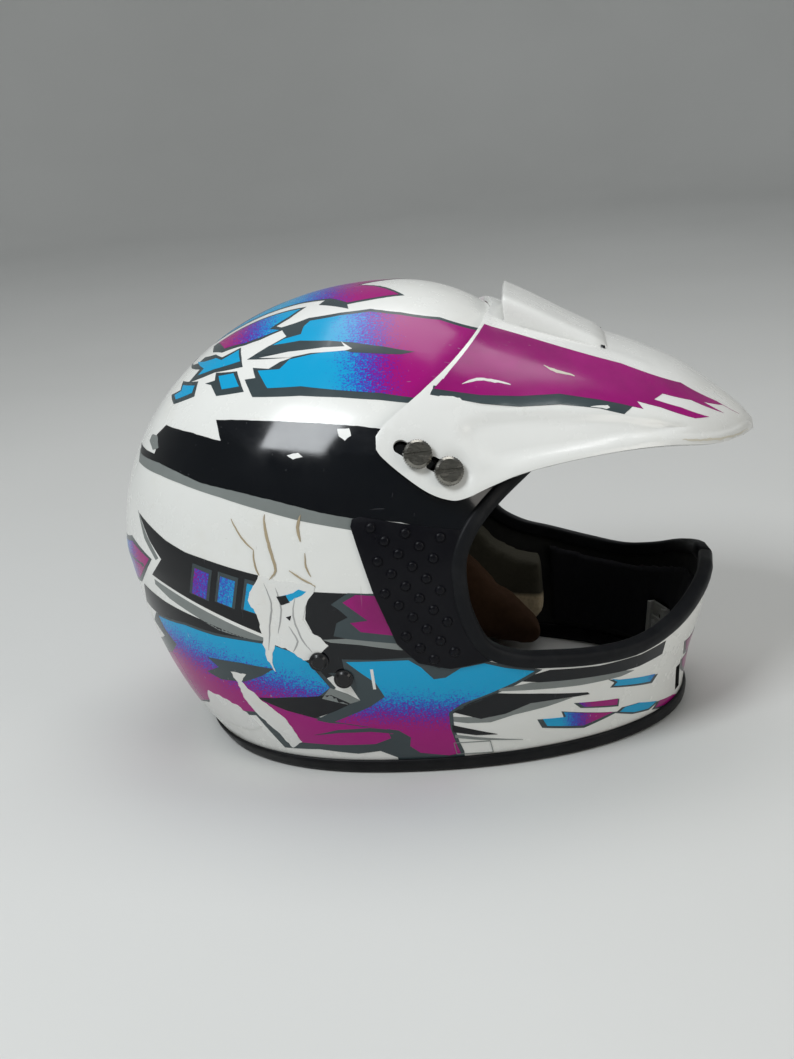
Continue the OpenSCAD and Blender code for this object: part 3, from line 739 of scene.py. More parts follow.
decal("main_spear", [(-86, 220), (-78, 224), (-61, 226.5), (-46, 226.5), (-33, 225.5), (-16, 223),
    (-1, 220), (-8, 219.5), (-20, 220.5), (-33, 221.5), (-42, 223.5), (-60, 222.5), (-72, 221)], SLATE_M, 3)
decal("main_sliver", [(-83, 219), (-67, 222), (-48, 223.8), (-37, 224), (-39, 226), (-33, 223),
    (-36, 222.4), (-55, 221.6), (-66, 219.8)], TORN_WHITE, 4)
# black stripe and its grey line
decal("stripe", [(-105, 192), (-91, 193), (-70, 193), (-49, 192), (-28, 190), (-10, 187), (14, 182),
    (40, 179), (60, 177), (64, 171), (56, 165.5), (37, 154.5), (23, 141.5), (17, 136), (14, 137),
    (-10, 145), (-35, 148), (-50, 151), (-70, 156), (-91, 160), (-114, 163), (-127, 166), (-140, 168),
    (-156, 167), (-158, 170), (-144, 171), (-142, 176), (-145, 178), (-137, 185), (-120, 185), (-102, 183)],
    BLACK, 2, tear=0.2)
decal("stripe_line", [(-158, 168), (-140, 168.5), (-127, 166.5), (-114, 163.5), (-91, 160), (-70, 156),
    (-50, 151), (-28, 147), (-34, 142), (-60, 147), (-81, 152), (-103, 157), (-126, 161), (-139, 162.5),
    (-157, 163)], STONE_M, 1)
decal("stripe_nick", [(-40, 189), (-34, 189.5), (-33, 186), (-36, 184), (-39, 186)], TORN_WHITE, 3,
    tear=0.5)
decal("stripe_chip", [(-66, 178), (-60, 179), (-58, 177), (-63, 176)], TORN_WHITE, 3, tear=0.5)
decal("stripe_tail_chip", [(-148, 178), (-143, 179), (-141, 174), (-146, 172), (-149, 175)], STONE_M, 3,
    tear=0.8)
# middle
decal("swoosh", [(-155, 140), (-147, 136), (-137, 131), (-125, 127), (-114, 125), (-100, 122), (-80, 118),
    (-78, 86), (-86, 87), (-103, 93), (-120, 99), (-137, 105), (-149, 109), (-141, 120), (-148, 128)],
    BLACK, 2)
decal("swoosh_rim", [(-156, 141), (-150, 130), (-143, 120), (-145, 118.5), (-152, 128)], STONE_M, 1)
decal("swoosh_line", [(-148, 106.5), (-138, 103.5), (-120, 97), (-98, 89), (-80, 83), (-90, 82.5),
    (-110, 86), (-124, 92), (-139, 98), (-148, 103.5)], STONE_M, 1)
decal("low_line", [(-158, 99), (-143, 95), (-121, 90.5), (-101, 85), (-85, 81.5), (-66, 76), (-60, 71),
    (-75, 76), (-90, 80), (-104, 81), (-122, 83), (-135, 84), (-149, 84), (-160, 86)], BLACK, 1)
decal("gem_edge", [(-176, 117), (-163, 125), (-148, 118), (-160, 99), (-176, 92)], SLATE_M, 1)
decal("gem", [(-176, 115), (-163, 122), (-150, 117.5), (-161, 101), (-176, 94)], gem_fade, 2)
for i in range(3):
    x = -123 + 14.5 * i
    z = 106 - 2.6 * i
    decal(f"block_shade_{i}", [(x - 2, z - 1), (x + 2, z + 16), (x + 13, z + 13.5), (x + 9, z - 4)],
          SLATE_M, 3)
    decal(f"block_{i}", [(x - 0.5, z - 1), (x + 3, z + 13.5), (x + 11, z + 11.5), (x + 7.5, z - 3.2)],
          block_fade, 4)
decal("mid_black", [(-60, 111), (-43, 110), (-33, 109.5), (-20, 109), (-8, 84), (6, 74), (20, 70), (24, 60),
    (4, 58), (-36, 66), (-43, 68), (-60, 60), (-75, 70), (-66, 76), (-56, 82), (-62, 96)], BLACK, 1)
decal("arrow_edge", [(-48, 104), (-39, 110), (-24, 109), (-10, 81), (-30, 83), (-48, 87), (-46, 94),
    (-40, 97), (-44, 101)], SLATE_M, 2)
decal("arrow", [(-42, 105), (-35, 109), (-25, 108), (-14, 86), (-34, 89), (-39, 94), (-30, 95)], MAGENTA_M,
    3)
decal("arrow_line", [(-54, 85), (-42, 85.5), (-16, 82), (-2, 77), (-16, 78.6), (-35, 82), (-50, 83.5)],
    STONE_M, 3)
decal("white_tear", [(-84, 119), (-71, 116), (-56, 115), (-56, 111), (-61, 104), (-63, 96), (-59, 89),
    (-51, 82), (-57, 76), (-65, 73), (-74, 80), (-79, 81), (-82, 74), (-81, 65), (-85, 74), (-86, 83),
    (-87, 98), (-92, 105), (-88, 113)], TORN_WHITE, 5, tear=1.1)
decal("tear_hole", [(-75, 108), (-70, 109), (-64, 112), (-60, 111), (-68, 106), (-74, 104)], plain_cyan, 6,
    tear=0.6)
decal("tear_hole_dark", [(-76, 108), (-71, 109), (-69, 105), (-74, 103.5)], BLACK, 7, tear=0.4)
decal("tear_fleck", [(-72, 97), (-69, 98), (-70, 95)], BLACK, 6)
for i, pts in enumerate([[(-82, 115), (-79, 104), (-81, 92), (-83, 78)], [(-76, 113), (-74, 101), (-77, 88)],
                         [(-66, 108), (-68, 98), (-65, 86), (-60, 78)], [(-71, 92), (-67, 84), (-70, 78)]]):
    decal(f"tear_fold_{i}", line(pts, 0.9), FOLD, 6, cell=1.4, tear=0.3)
# lower wing
decal("wing", [(-150, 83), (-131, 84.5), (-113, 82.5), (-96, 82), (-81, 81), (-69, 77), (-62, 71),
    (-53, 57), (-60, 51), (-75, 50), (-91, 47), (-79, 41), (-61, 36), (-40, 32), (-22, 30), (-24, 24),
    (-33, 20), (-52, 19), (-74, 19), (-81, 26), (-95, 37), (-107, 35), (-117, 40), (-128, 34), (-140, 24),
    (-156, 34), (-158, 50), (-146, 60), (-140, 69), (-147, 76)], wing_fade, 2)
decal("wing_edge", [(-152, 84), (-131, 86), (-113, 84), (-96, 83.5), (-80, 82.5), (-67, 78), (-59, 70),
    (-50, 57), (-56, 49.5), (-75, 48.5), (-79, 43), (-61, 37.5), (-40, 33.5), (-20, 31), (-20, 23),
    (-22, 10), (-31, 15), (-43, 13), (-64, 15), (-84, 13), (-97, 34), (-108, 32), (-118, 37), (-130, 31),
    (-142, 21), (-160, 30), (-163, 50), (-156, 62), (-149, 70), (-156, 76)], SLATE_M, 1)
decal("lozenge", [(-120, 68), (-101, 68.5), (-82, 67), (-89, 62), (-100, 56.5), (-114, 55), (-122, 58),
    (-114, 63)], SLATE_M, 3)
decal("lozenge_black", [(-95, 47), (-70, 50), (-53, 52.5), (-43, 47), (-52, 42), (-63, 37), (-78, 40.5)],
    BLACK, 3)
decal("lozenge_line", [(-53, 57), (-44, 53), (-38, 49), (-45, 46.5), (-58, 50)], STONE_M, 3)
decal("tear_low", [(-107, 62), (-98, 62), (-102, 56), (-92, 46), (-80, 35), (-73, 19), (-79, 14), (-86, 25),
    (-97, 37), (-102, 46), (-104, 55)], TORN_WHITE, 5, tear=0.9)
decal("tear_rear", [(-125, 43), (-117, 42), (-107, 38.5), (-95, 27), (-102, 22), (-118, 22), (-127, 32)],
    TORN_WHITE, 5, tear=0.8)
decal("streak", [(-22, 27), (-35, 28.5), (-52, 27.5), (-66, 25), (-52, 29.5), (-35, 31), (-24, 29.5)],
    SLATE_M, 3)
# cross under the port
decal("cross_edge", [(-53, 66), (-44, 66), (-45, 74), (-28, 73.5), (-10, 74), (-2, 70), (4, 67), (14, 68),
    (27, 69), (38, 65), (56, 59), (42, 52), (29, 47), (16, 42), (9, 38), (9, 29), (11, 19), (13, 12),
    (13, 6), (-2, 6), (-22, 8), (-24, 22), (-26, 30), (-36, 33), (-56, 34), (-63, 35.5), (-47, 46),
    (-38, 49), (-42, 58)], SLATE_M, 2)
decal("cross", [(-43, 72.5), (-28, 72.5), (-11, 72.5), (-5, 68), (1, 60.5), (7, 61), (15, 66), (27, 67.5),
    (37, 63.5), (52, 59), (42, 54), (29, 49), (14, 44), (7, 39), (7, 29), (9, 19), (11, 11), (5, 10),
    (-10, 13), (-15, 18), (-14, 24), (-20, 29), (-36, 32), (-53, 35), (-33, 45), (-25, 51), (-29, 60),
    (-36, 66)], cross_fade, 3)
decal("cross_nick", [(-31, 68), (-29.5, 68), (-29, 56), (-30.5, 56)], TORN_WHITE, 4)
# chin
decal("chin_black", [(40, 55), (60, 58), (86, 54), (108, 53), (122, 55), (120, 47), (107, 45.5), (78, 47),
    (60, 50)], BLACK, 1)
decal("chin_line", [(34, 51), (50, 52), (65, 50), (99, 46), (104, 44), (97, 43), (75, 44.5), (54, 47),
    (33, 49.5)], STONE_M, 2)
decal("chin_spear", [(9, 39), (18, 44), (31, 48.5), (55, 44), (79, 38.5), (80, 37), (64, 38.5), (49, 39),
    (36, 34.5), (23, 33)], BLACK, 2)
decal("chin_spear_line", [(8, 36), (23, 34), (36, 36), (49, 40), (71, 37.5), (58, 35), (40, 33), (28, 30),
    (16, 31), (8, 33)], STONE_M, 1)
decal("chin_dart", [(8, 30.5), (17, 27), (31, 21.5), (20, 22.5), (8, 26)], BLACK, 4)
decal("chin_dart_line", [(9, 24), (22, 20.5), (44, 15.5), (22, 19), (9, 22)], STONE_M, 4)
for i, (ring, mat) in enumerate([
        ([(92, 43), (96, 41), (116, 35), (113, 31.5), (93, 38), (95, 40)], chip_low_fade),
        ([(74, 33), (95, 28.5), (94.5, 24.5), (77, 29.5)], chip_fade),
        ([(55, 27), (67, 25.5), (66, 29), (92, 20.5), (76, 17), (57, 22)], chip_fade),
        ([(99, 21), (107, 20), (117, 15), (112, 13), (104, 15), (96, 19)], plain_cyan),
        ([(119, 14), (127, 11), (130, 8), (122, 8.5), (116, 11)], MAGENTA_M),
        ([(135, 44), (143, 42), (143, 36), (140, 31), (135, 35)], MAGENTA_M),
        ([(133, 31), (139, 30), (138, 24), (135, 20), (133, 25)], MAGENTA_M)]):
    cx, cz = (sum(v) / len(ring) for v in zip(*ring))
    decal(f"chip_edge_{i}", [(cx + (x - cx) * 1.16 - 0.8, cz + (z - cz) * 1.22 - 0.4) for x, z in ring],
          SLATE_M, 1)
    decal(f"chip_{i}", ring, mat, 2)
# bare outline of the small label, with nothing written in it
label = [(8, 18.5), (27, 17.5), (28, 9.5), (9, 10.5)]
for i in range(4):
    decal(f"label_edge_{i}", line([label[i], label[(i + 1) % 4]], 0.35, False), STONE_M, 4, cell=1.6)
# cracks in the paint
for i, pts in enumerate([[(-79, 150), (-79, 143), (-77, 132), (-75, 122), (-79, 117)],
                         [(-86, 132), (-86, 124), (-84, 119)],
                         [(-60, 150), (-62, 144), (-61, 137)], [(-59, 131), (-59, 124), (-57, 119)],
                         [(-97, 147), (-92, 138), (-86, 132)], [(-68, 122), (-62, 118), (-55, 114)]]):
    decal(f"crack_{i}", line(pts, 1.5 if i in (0, 2) else 0.8), CRACK, 6, cell=1.4, tear=0.3)
paintwork = join("painted_shapes", decals)
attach(paintwork, "helmet")

# ---------------------------------------------------------------- rubber
def lens(points, n=3):
    """Closed section with its corners rounded off."""
    p = [Vector((*q, 0)) for q in points]
    out = []
    for i in range(len(p)):
        a, b, c = p[i - 1], p[i], p[(i + 1) % len(p)]
        r = min((a - b).length, (c - b).length) * 0.42
        s, e = b + (a - b).normalized() * r, b + (c - b).normalized() * r
        for k in range(n + 1):
            t = k / n
            out.append((1 - t) ** 2 * s + 2 * t * (1 - t) * b + t * t * e)
    return [(q.x, q.y) for q in out]


port_path = port_ring(0.0)
section = lens([(0, -0.05), (0.9, -1.9), (3.4, -2.4), (6.2, -2.2), (8.3, -0.8), (8.4, 4.6), (7.0, WALL +
    2.2), (0.8, WALL + 2.2), (0.3, WALL + 0.25), (6.2, WALL + 0.25), (6.2, -0.05)])
pts = [skin(a, height(v)) for a, v in port_path]
rings = []
for i, (a, v) in enumerate(port_path):
    t = (pts[(i + 1) % len(pts)] - pts[i - 1]).normalized()
    out = skin_normal(a, height(v))
    into = t.cross(out).normalized()
    if into.dot(Vector((88, 0, 112)) - pts[i]) < 0:
        into = -into
    up = (out - out.dot(into) * into).normalized()
    rings.append([pts[i] + q[0] * into - q[1] * up for q in section])
port_trim = sweep("port_trim", rings, TRIM)
place(port_trim, "eye_port_trim")

neck_section = lens([(-0.15, RIM_Z), (-0.15, 9.0), (-1.7, 8.4), (-2.3, 6.5), (-2.3, 1.6), (-1.2, 0.0), (WALL
    + 1.2, 0.0), (WALL + 2.2, 1.6), (WALL + 2.2, 8.0), (WALL + 0.15, 8.0), (WALL + 0.15, RIM_Z)])
neck_trim = sweep("neck_trim_rubber", [[skin(a * 1.875, max(q[1], 0.0), q[0]) for q in neck_section] for a
    in range(192)], NECK_RUBBER)
place(neck_trim, "neck_trim")

GRIP_LINE = [(-35, 144), (-34, 147.5), (-30, 148.5), (-8, 144), (20.5, 138), (16, 128), (14.7, 110),
    (17.5, 92), (26, 74.5), (31, 69), (10, 66.5), (-6, 71), (-16, 82), (-26, 110)]


GRIP_LIFT, DOT_R, DOT_H = 1.15, 2.5, 1.25


def port_back(z):
    """How far back the port's trim reaches at this height."""
    return min(q.x for q in port_side if abs(q.y - z) < 4)


def dome(centre, out, r, h):
    """A low dome with a soft foot."""
    side = out.orthogonal().normalized()
    other = out.cross(side)
    ring_list = []
    for rr, hh in ((1.15, -0.1), (1.0, 0.12), (0.93, 0.5), (0.78, 0.78), (0.5, 0.95), (0.2, 1.0)):
        ring_list.append([centre + out * (hh * h) + rr * r * (math.cos(t) * side + math.sin(t) * other)
                          for t in [i * math.pi / 8 for i in range(16)]])
    return ring_list


for left in (False, True):
    name = "left" if left else "right"
    ring = [from_side(p, left) for p in split(GRIP_LINE, 4)]
    base = patch(f"grip_{name}", ring, lambda p: on_skin(p, GRIP_LIFT), GRIP, 1.5)
    solid(base, 1.3, SHELL_CENTRE, 0.5)
    bits = [base]
    for r in range(-4, 16):
        for c in range(-8, 6):
            x, z = -25 + 17.0 * c + 6.5 * r, 143 - 3.4 * c - 6.7 * r
            if inside((x, z), GRIP_LINE) and gap((x, z), GRIP_LINE) > 3.4 and x < port_back(z) - 4:
                a, v = from_side((x, z), left)
                out = skin_normal(a, height(v))
                dot = dome(on_skin((a, v), GRIP_LIFT), out, DOT_R, DOT_H)
                bits.append(sweep(f"dot_{name}_{r}_{c}", dot, GRIP, closed=False, caps=True))
    grip = join(f"grip_panel_{name}_dotted", bits)
    place(grip, f"grip_panel_{name}")

# ---------------------------------------------------------------- peak
PEAK_TOP = [(-24, 250), (10, 241), (45, 227), (97, 208), (135, 192), (158, 176), (172, 164), (176, 158)]
PEAK_HALF = [(-24, 125.5), (0, 125), (25, 121), (60, 111), (100, 96), (130, 80), (152, 58), (168, 30),
    (176, 6)]
PEAK_WAIST = [(-24, 112), (0, 114), (60, 140), (110, 152), (176, 152)]
PEAK_POW, PEAK_T = 2.2, 3.0
LOWER = [(176, 154), (168, 157), (152, 160.5), (128, 166.5), (104, 168.5), (76, 167.5), (52, 164.5),
    (36, 160), (22, 155.3), (14, 155.6), (4, 160), (-8, 169), (-17, 177), (-20, 181)]
REAR = [(-20, 187), (-16, 191.5), (-8, 197.5), (6, 207), (16, 214), (26, 222), (33, 228)]


PEAK_CENTRE = (60, 0, 120)
PEAK_STRETCH = 0.62             # width of a millimetre along the peak against a degree of its section


def on_peak(p, lift=0.0):
    """Point on the peak's plain form from (x, section angle)."""
    x, f = p
    w, b = along(PEAK_HALF, x) + lift, along(PEAK_WAIST, x)
    h = max(along(PEAK_TOP, x) + lift - b, 1.0)
    c, s = math.cos(math.radians(f)), math.sin(math.radians(f))
    return Vector((x, w * power(c, 2 / PEAK_POW), b + h * power(s, 2 / PEAK_POW)))


def peak_side(p, left=False):
    """(x, section angle) on the peak of a side-view point (x, z)."""
    x, z = p
    b = along(PEAK_WAIST, x)
    s = min(max((z - b) / max(along(PEAK_TOP, x) - b, 1.0), 0.0), 1.0) ** (PEAK_POW / 2)
    f = math.degrees(math.asin(s))
    return (x, f if left else 180 - f)


RECESS = [(24, 191), (21, 183), (31, 174), (40, 169.5), (70, 172), (100, 174), (124, 172.5), (143, 172),
    (120, 179), (100, 184.5), (71, 189), (41, 192)]
PANEL_RIM = [(36, 228), (73, 214.5), (104, 203.5), (135, 190.5), (155, 178), (168, 166), (158, 166),
    (140, 173), (112, 183.5), (91, 188.5), (71, 192), (51, 194), (32, 197), (5, 201.5), (5, 206)]


def relief(x, z):
    """How far the peak's face stands proud of its plain form: a lip along the lower edge, a shallow
    dished field above it and a fine bead round the coloured panel."""
    out = 0.0
    low = min(math.hypot(x - q[0], z - q[1]) for q in lower_fine)
    out += 1.1 * (1 - ease((low - 3.4) / 1.6)) if x > 24 else 0.0
    if inside((x, z), RECESS):
        out -= 2.1 * ease(gap((x, z), RECESS) / 2.6)
    g = gap((x, z), PANEL_RIM)
    if g < 1.6 and x < 120:
        out += 0.45 * (1 - ease(g / 1.3))
    return out


lower_fine = [(q.x, q.y) for q in round_line([(*p, 0) for p in LOWER], 6)]
rear_fine = [(q.x, q.y) for q in round_line([(*p, 0) for p in REAR], 4)]
right = [peak_side(p) for p in lower_fine + rear_fine]
outline = right + [(37.5, 90.0)] + [(x, 180 - f) for x, f in reversed(right)]

SCREW_AXIS = Vector((0.24, 0.90, 0.375)).normalized()
SLIDE = Vector((SCREW_AXIS.z, 0, -SCREW_AXIS.x)).normalized()
SCREW_REAR = Vector((-1, 109.5, 176))
SEATS = [(SCREW_REAR, 3.85), (SCREW_REAR + 17.5 * SLIDE, 4.95)]    # foot of a screw, height of its head
TRAVEL = 8.0                                   # slide of the peak
SEAT_IN, SEAT_OUT = 9.0, 11.0                  # radii up to which a seat is flat, and where it ends
SLOT_R, SLOT_FRONT, SLOT_BACK = 3.6, 0.4, 8.8


def lay_peak(p, lift=0.0):
    """Peak's face with its relief, pressed flat under the screws' heads over their travel."""
    q = on_peak(p)
    q = on_peak(p, relief(q.x, q.z) + lift)
    for s, seat in SEATS:
        side = math.copysign(1, q.y)
        d = Vector((q.x, q.y * side, q.z)) - s
        h = d.dot(SCREW_AXIS)
        flat = d - h * SCREW_AXIS
        run = min(max(-flat.dot(SLIDE), 0.0), TRAVEL)
        away = (flat + run * SLIDE).length
        if h > seat and away < SEAT_OUT:
            cut = (h - seat) * (1 - ease((away - SEAT_IN) / (SEAT_OUT - SEAT_IN)))
            q = q - cut * Vector((SCREW_AXIS.x, SCREW_AXIS.y * side, SCREW_AXIS.z))
    return q




def slot_hole(foot, left):
    """Edge of the slot that a screw passes through, followed out along the screw to the peak's face."""
    hole = []
    for k in range(24):
        t = 2 * math.pi * k / 24
        c = foot + (SLOT_FRONT if math.cos(t) > 0 else -SLOT_BACK) * SLIDE
        q = c + SLOT_R * (math.cos(t) * SLIDE + math.sin(t) * SCREW_AXIS.cross(SLIDE))
        reach = 3.0
        for _ in range(6):
            at = q + reach * SCREW_AXIS
            reach = (abs(on_peak(peak_side((at.x, at.z))).y) - q.y) / SCREW_AXIS.y
        hole.append(peak_side((at.x, at.z), left))
    return hole


slots = [slot_hole(foot, left) for left in (True, False) for foot, _ in SEATS]
duct = [(52, 76), (88, 76), (88, 104), (52, 104)]
peak = patch("peak_shell", outline, lay_peak, PEAK_WHITE, 2.2, [*slots, duct], PEAK_STRETCH)
solid(peak, PEAK_T, PEAK_CENTRE, 0.8, 3)
bits = [peak]


def peak_decal(name, ring, mat, layer, tear=0.0):
    """A thin printed shape on both sides of the peak, from a ring in side view (x, z)."""
    if tear:
        ring = ragged(ring, tear)
    lift = layer * STEP + 0.05
    for left in (False, True):
        r = [peak_side(p, left) for p in split(ring, 4.0)]
        o = patch(f"{name}_{left}", r, lambda p: lay_peak(p, lift), mat, 2.4, stretch=PEAK_STRETCH)
        bits.append(solid(o, lift + SINK, PEAK_CENTRE))


peak_decal("panel_shade", [(8, 207), (32, 202), (51, 199.5), (71, 198), (91, 193), (103, 189), (108, 186.5),
    (103, 184), (91, 188), (71, 192.3), (51, 193.6), (32, 197), (6, 203.4)], SLATE_M, 1)
peak_decal("panel", [(34, 226.5), (73, 212.5), (104, 201.5), (135, 188.5), (154, 176), (167, 166),
    (158, 173), (146, 179), (157, 171), (139, 182), (124, 188), (119, 187), (133, 181), (148, 173),
    (140, 175), (122, 183.5), (110, 188), (113, 184.5), (101, 188.5), (91, 191.5), (71, 196.5), (51, 198),
    (32, 200.5), (9, 205.5)], MAGENTA_M, 2)
peak_decal("panel_scuff", line([(23, 206), (32, 207), (47, 203)], 1.2), TORN_WHITE, 3, tear=0.5)
peak_decal("panel_scratch", line([(64, 208), (70, 205), (79, 202)], 0.9), CREAM_M, 3, tear=0.4)
peak_decal("tip_grime", line([(172, 157), (150, 163), (132, 168)], 1.0), CREAM_M, 1, tear=0.8)

# raised duct on the peak
SCOOP_BACK, SCOOP_FRONT, ROWS = 44, 96, 14
scoop_rings = []
for k in range(ROWS + 1):
    x = SCOOP_BACK + (SCOOP_FRONT - SCOOP_BACK) * k / ROWS
    top = along([(44, 239), (56, 233), (75, 222.5), (90, 214.5), (96, 211.5)], x)
    w = 29 - 3 * (x - SCOOP_BACK) / 50
    base = along(PEAK_TOP, x) - 5
    if k == ROWS:
        top -= 1.2
        w -= 0.8
    half = [(w + 2.2, base), (w + 1.6, (base + top) / 2), (w + 0.4, top - 4.2), (w - 1.2, top - 1.9),
            (w - 4.0, top - 0.7), (w - 9, top - 0.1)]
    half += [(0, top + 0.6)] + [(-y, z) for y, z in reversed(half)]
    scoop_rings.append([Vector((x, y, z)) for y, z in half])
n = len(scoop_rings[0])
faces = [[k * n + i, (k + 1) * n + i, (k + 1) * n + i + 1, k * n + i + 1]
         for k in range(ROWS) for i in range(n - 1)]
verts = [p for r in scoop_rings for p in r]
front = scoop_rings[-1]
start = len(verts)
verts += [Vector((p.x + 1.4, p.y * 0.98, p.z - 1.6)) for p in front]
faces += [[ROWS * n + i, start + i, start + i + 1, ROWS * n + i + 1] for i in range(n - 1)]
low = len(verts)
verts += [Vector((98.5, p.y * 0.98, min(p.z - 2, along(PEAK_TOP, 98) - 1.5))) for p in front]
faces += [[start + i, low + i, low + i + 1, start + i + 1] for i in range(n - 1)]
scoop = mesh_object("scoop", verts, faces, PEAK_WHITE)
sub = scoop.modifiers.new("sub", "SUBSURF")
sub.levels = sub.render_levels = 1
apply_all(scoop)
bm = bmesh.new()
bm.from_mesh(scoop.data)
face_outwards(bm)
bm.to_mesh(scoop.data)
bm.free()
solid(scoop, 2.3, (70, 0, 205), 0.6, 2)
bits.append(scoop)
# painted shade: a black box, with an inner face and an outer one, fills the slit beside the duct's mouth in
# place of the shade inside it
SLIT_AT = (95, 25.4, 203.6)
SLIT = [(0, 0, 0), (2.0, -0.2, 0.2), (1.5, -0.6, 4.9), (-0.6, -0.4, 5.6),
        (0, 1.2, 0), (2.0, 1.0, 0.2), (1.5, 0.6, 4.9), (-0.6, 0.8, 5.6)]
BOX_FACES = [[0, 1, 2, 3], [4, 7, 6, 5], [0, 4, 5, 1], [1, 5, 6, 2], [2, 6, 7, 3], [3, 7, 4, 0]]
for s in (-1, 1):
    verts = [(SLIT_AT[0] + dx, s * (SLIT_AT[1] + dy), SLIT_AT[2] + dz) for dx, dy, dz in SLIT]
    bits.append(mesh_object("slit_painted_shade", verts, BOX_FACES, BLACK))
peak_all = join("peak_painted", bits)
place(peak_all, "peak", "peak")


# ---------------------------------------------------------------- lining and foam
def soften(node, name, mat, voxel, rounds, shrink=0.0):
    """Copy of a soft CAD solid, remeshed and relaxed into a moulded shape."""
    o = link(name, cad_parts[node].data.copy())
    o.data.materials.clear()
    o.data.materials.append(mat)
    r = o.modifiers.new("remesh", "REMESH")
    r.mode = "VOXEL"
    r.voxel_size = voxel * MM
    r.use_smooth_shade = True
    s = o.modifiers.new("relax", "SMOOTH")
    s.factor = 0.5
    s.iterations = rounds
    apply_all(o)
    if shrink:
        o.data.update()
        co = [v.co - v.normal * shrink * MM for v in o.data.vertices]
        for v, c in zip(o.data.vertices, co):
            v.co = c
    return o


def puff(o, cap, pressure=4.0):
    """Cloth simulation under light pressure, with each point's travel capped."""
    rest = [v.co.copy() for v in o.data.vertices]
    c = o.modifiers.new("cloth", "CLOTH")
    c.settings.quality = 4
    c.settings.mass = 0.25
    c.settings.use_pressure = True
    c.settings.uniform_pressure_force = pressure
    c.settings.effector_weights.gravity = 0
    c.settings.tension_stiffness = c.settings.compression_stiffness = 12
    c.settings.bending_stiffness = 0.6
    c.point_cache.frame_start, c.point_cache.frame_end = 1, 20
    for f in range(1, 21):
        bpy.context.scene.frame_set(f)
    apply_all(o)
    bpy.context.scene.frame_set(1)
    for v, r in zip(o.data.vertices, rest):
        d = v.co - r
        if d.length > cap * MM:
            v.co = r + d * (cap * MM / d.length)


def finish_soft(o, node, levels=1):
    """Rounds a soft piece off and stands it in for its CAD solid."""
    if levels:
        s = o.modifiers.new("sub", "SUBSURF")
        s.levels = s.render_levels = levels
        apply_all(o)
    o.data.polygons.foreach_set("use_smooth", [True] * len(o.data.polygons))
    place(o, node)


def crease(o, where, depth, width):
    """Presses a seam into a soft piece: where(point) gives the distance from the seam."""
    o.data.update()
    moved = [v.co - v.normal * depth * MM * math.exp(-(where(v.co / MM) / width) ** 2)
             for v in o.data.vertices]
    for v, c in zip(o.data.vertices, moved):
        v.co = c


for side in ("left", "right"):
    foam = soften(f"cheek_foam_{side}", f"cheek_block_{side}", FOAM_BEIGE_PAINTED_SHADE, 2.6, 6)
    finish_soft(foam, f"cheek_foam_{side}", 0)
    pad = soften(f"cheek_pad_{side}", f"cheek_cushion_{side}", PAD_BROWN, 4.5, 10, 1.8)
    puff(pad, 5.0)
    crease(pad, lambda p: abs(abs(p.y) - 85), 1.3, 1.4)
    finish_soft(pad, f"cheek_pad_{side}")
crown = soften("crown_foam", "crown_bead_foam", FOAM_DARK, 3.0, 6)
finish_soft(crown, "crown_foam", 0)
lining = soften("comfort_liner", "crown_lining", LINING, 3.4, 8, 0.6)
puff(lining, 2.0, 2.0)
crease(lining, lambda p: abs(p.y) - 22 if abs(p.y) > 22 else 22 - abs(p.y), 1.6, 2.0)
finish_soft(lining, "comfort_liner")
roll = soften("neck_roll", "nape_roll", LINING, 4.0, 6, 1.2)
puff(roll, 3.0)
finish_soft(roll, "neck_roll")
chin = soften("chin_liner", "chin_lining", CHIN_CLOTH, 2.0, 4)
finish_soft(chin, "chin_liner", 0)

# ---------------------------------------------------------------- straps
PIN = Vector((-51, 0, 50))
WEB_W, WEB_T, BAR_R = 20.0, 2.0, 1.9
EYE_BAR = 35.5
LOOP_Y = 99.2
BUCKLE, FALL = (-72.0, 23.0), math.radians(-20)


def buckle(p):
    """(y, z) of a point in the buckle's own tilted plane."""
    return (BUCKLE[0] + p[0] * math.cos(FALL) - p[1] * math.sin(FALL),
            BUCKLE[1] + p[0] * math.sin(FALL) + p[1] * math.cos(FALL))


def webbing(name, route):
    """Flat woven strap along a route of (y, z) points, with two fine channels down its length."""
    p = round_line([(*q, 0) for q in route], 5)
    w, t = WEB_W / 2, WEB_T / 2
    across_w = [(-w, 0.0), (-w + 0.35, t * 0.8), (-w + 1.1, t), (-w + 5.6, t), (-w + 6.2, t * 0.72),
                (-w + 6.8, t), (w - 6.8, t), (w - 6.2, t * 0.72), (w - 5.6, t), (w - 1.1, t),
                (w - 0.35, t * 0.8), (w, 0.0)]
    sect = across_w + [(x, -z) for x, z in reversed(across_w[1:-1])]
    rings = []
    for i, q in enumerate(p):
        d = (p[min(i + 1, len(p) - 1)] - p[max(i - 1, 0)]).normalized()
        nrm = Vector((-d.y, d.x))
        rings.append([Vector((PIN.x + x, q.x + nrm.x * z, q.y + nrm.y * z)) for x, z in sect])
    return sweep(name, rings, STRAP, closed=False, caps=True)


def wrap(name, y, z):
    """Webbing turned round a bar."""
    w, inner, edge, outer = WEB_W / 2, BAR_R, BAR_R + WEB_T * 0.8, BAR_R + WEB_T
    sect = [(-w, inner), (-w, edge), (-w + 0.5, outer), (w - 0.5, outer), (w, edge), (w, inner)]
    rings = []
    for k in range(28):
        a = 2 * math.pi * k / 28
        c = Vector((0, math.cos(a), math.sin(a)))
        rings.append([Vector((PIN.x + x, y, z)) + c * r for x, r in sect])
    return sweep(name, rings, STRAP)


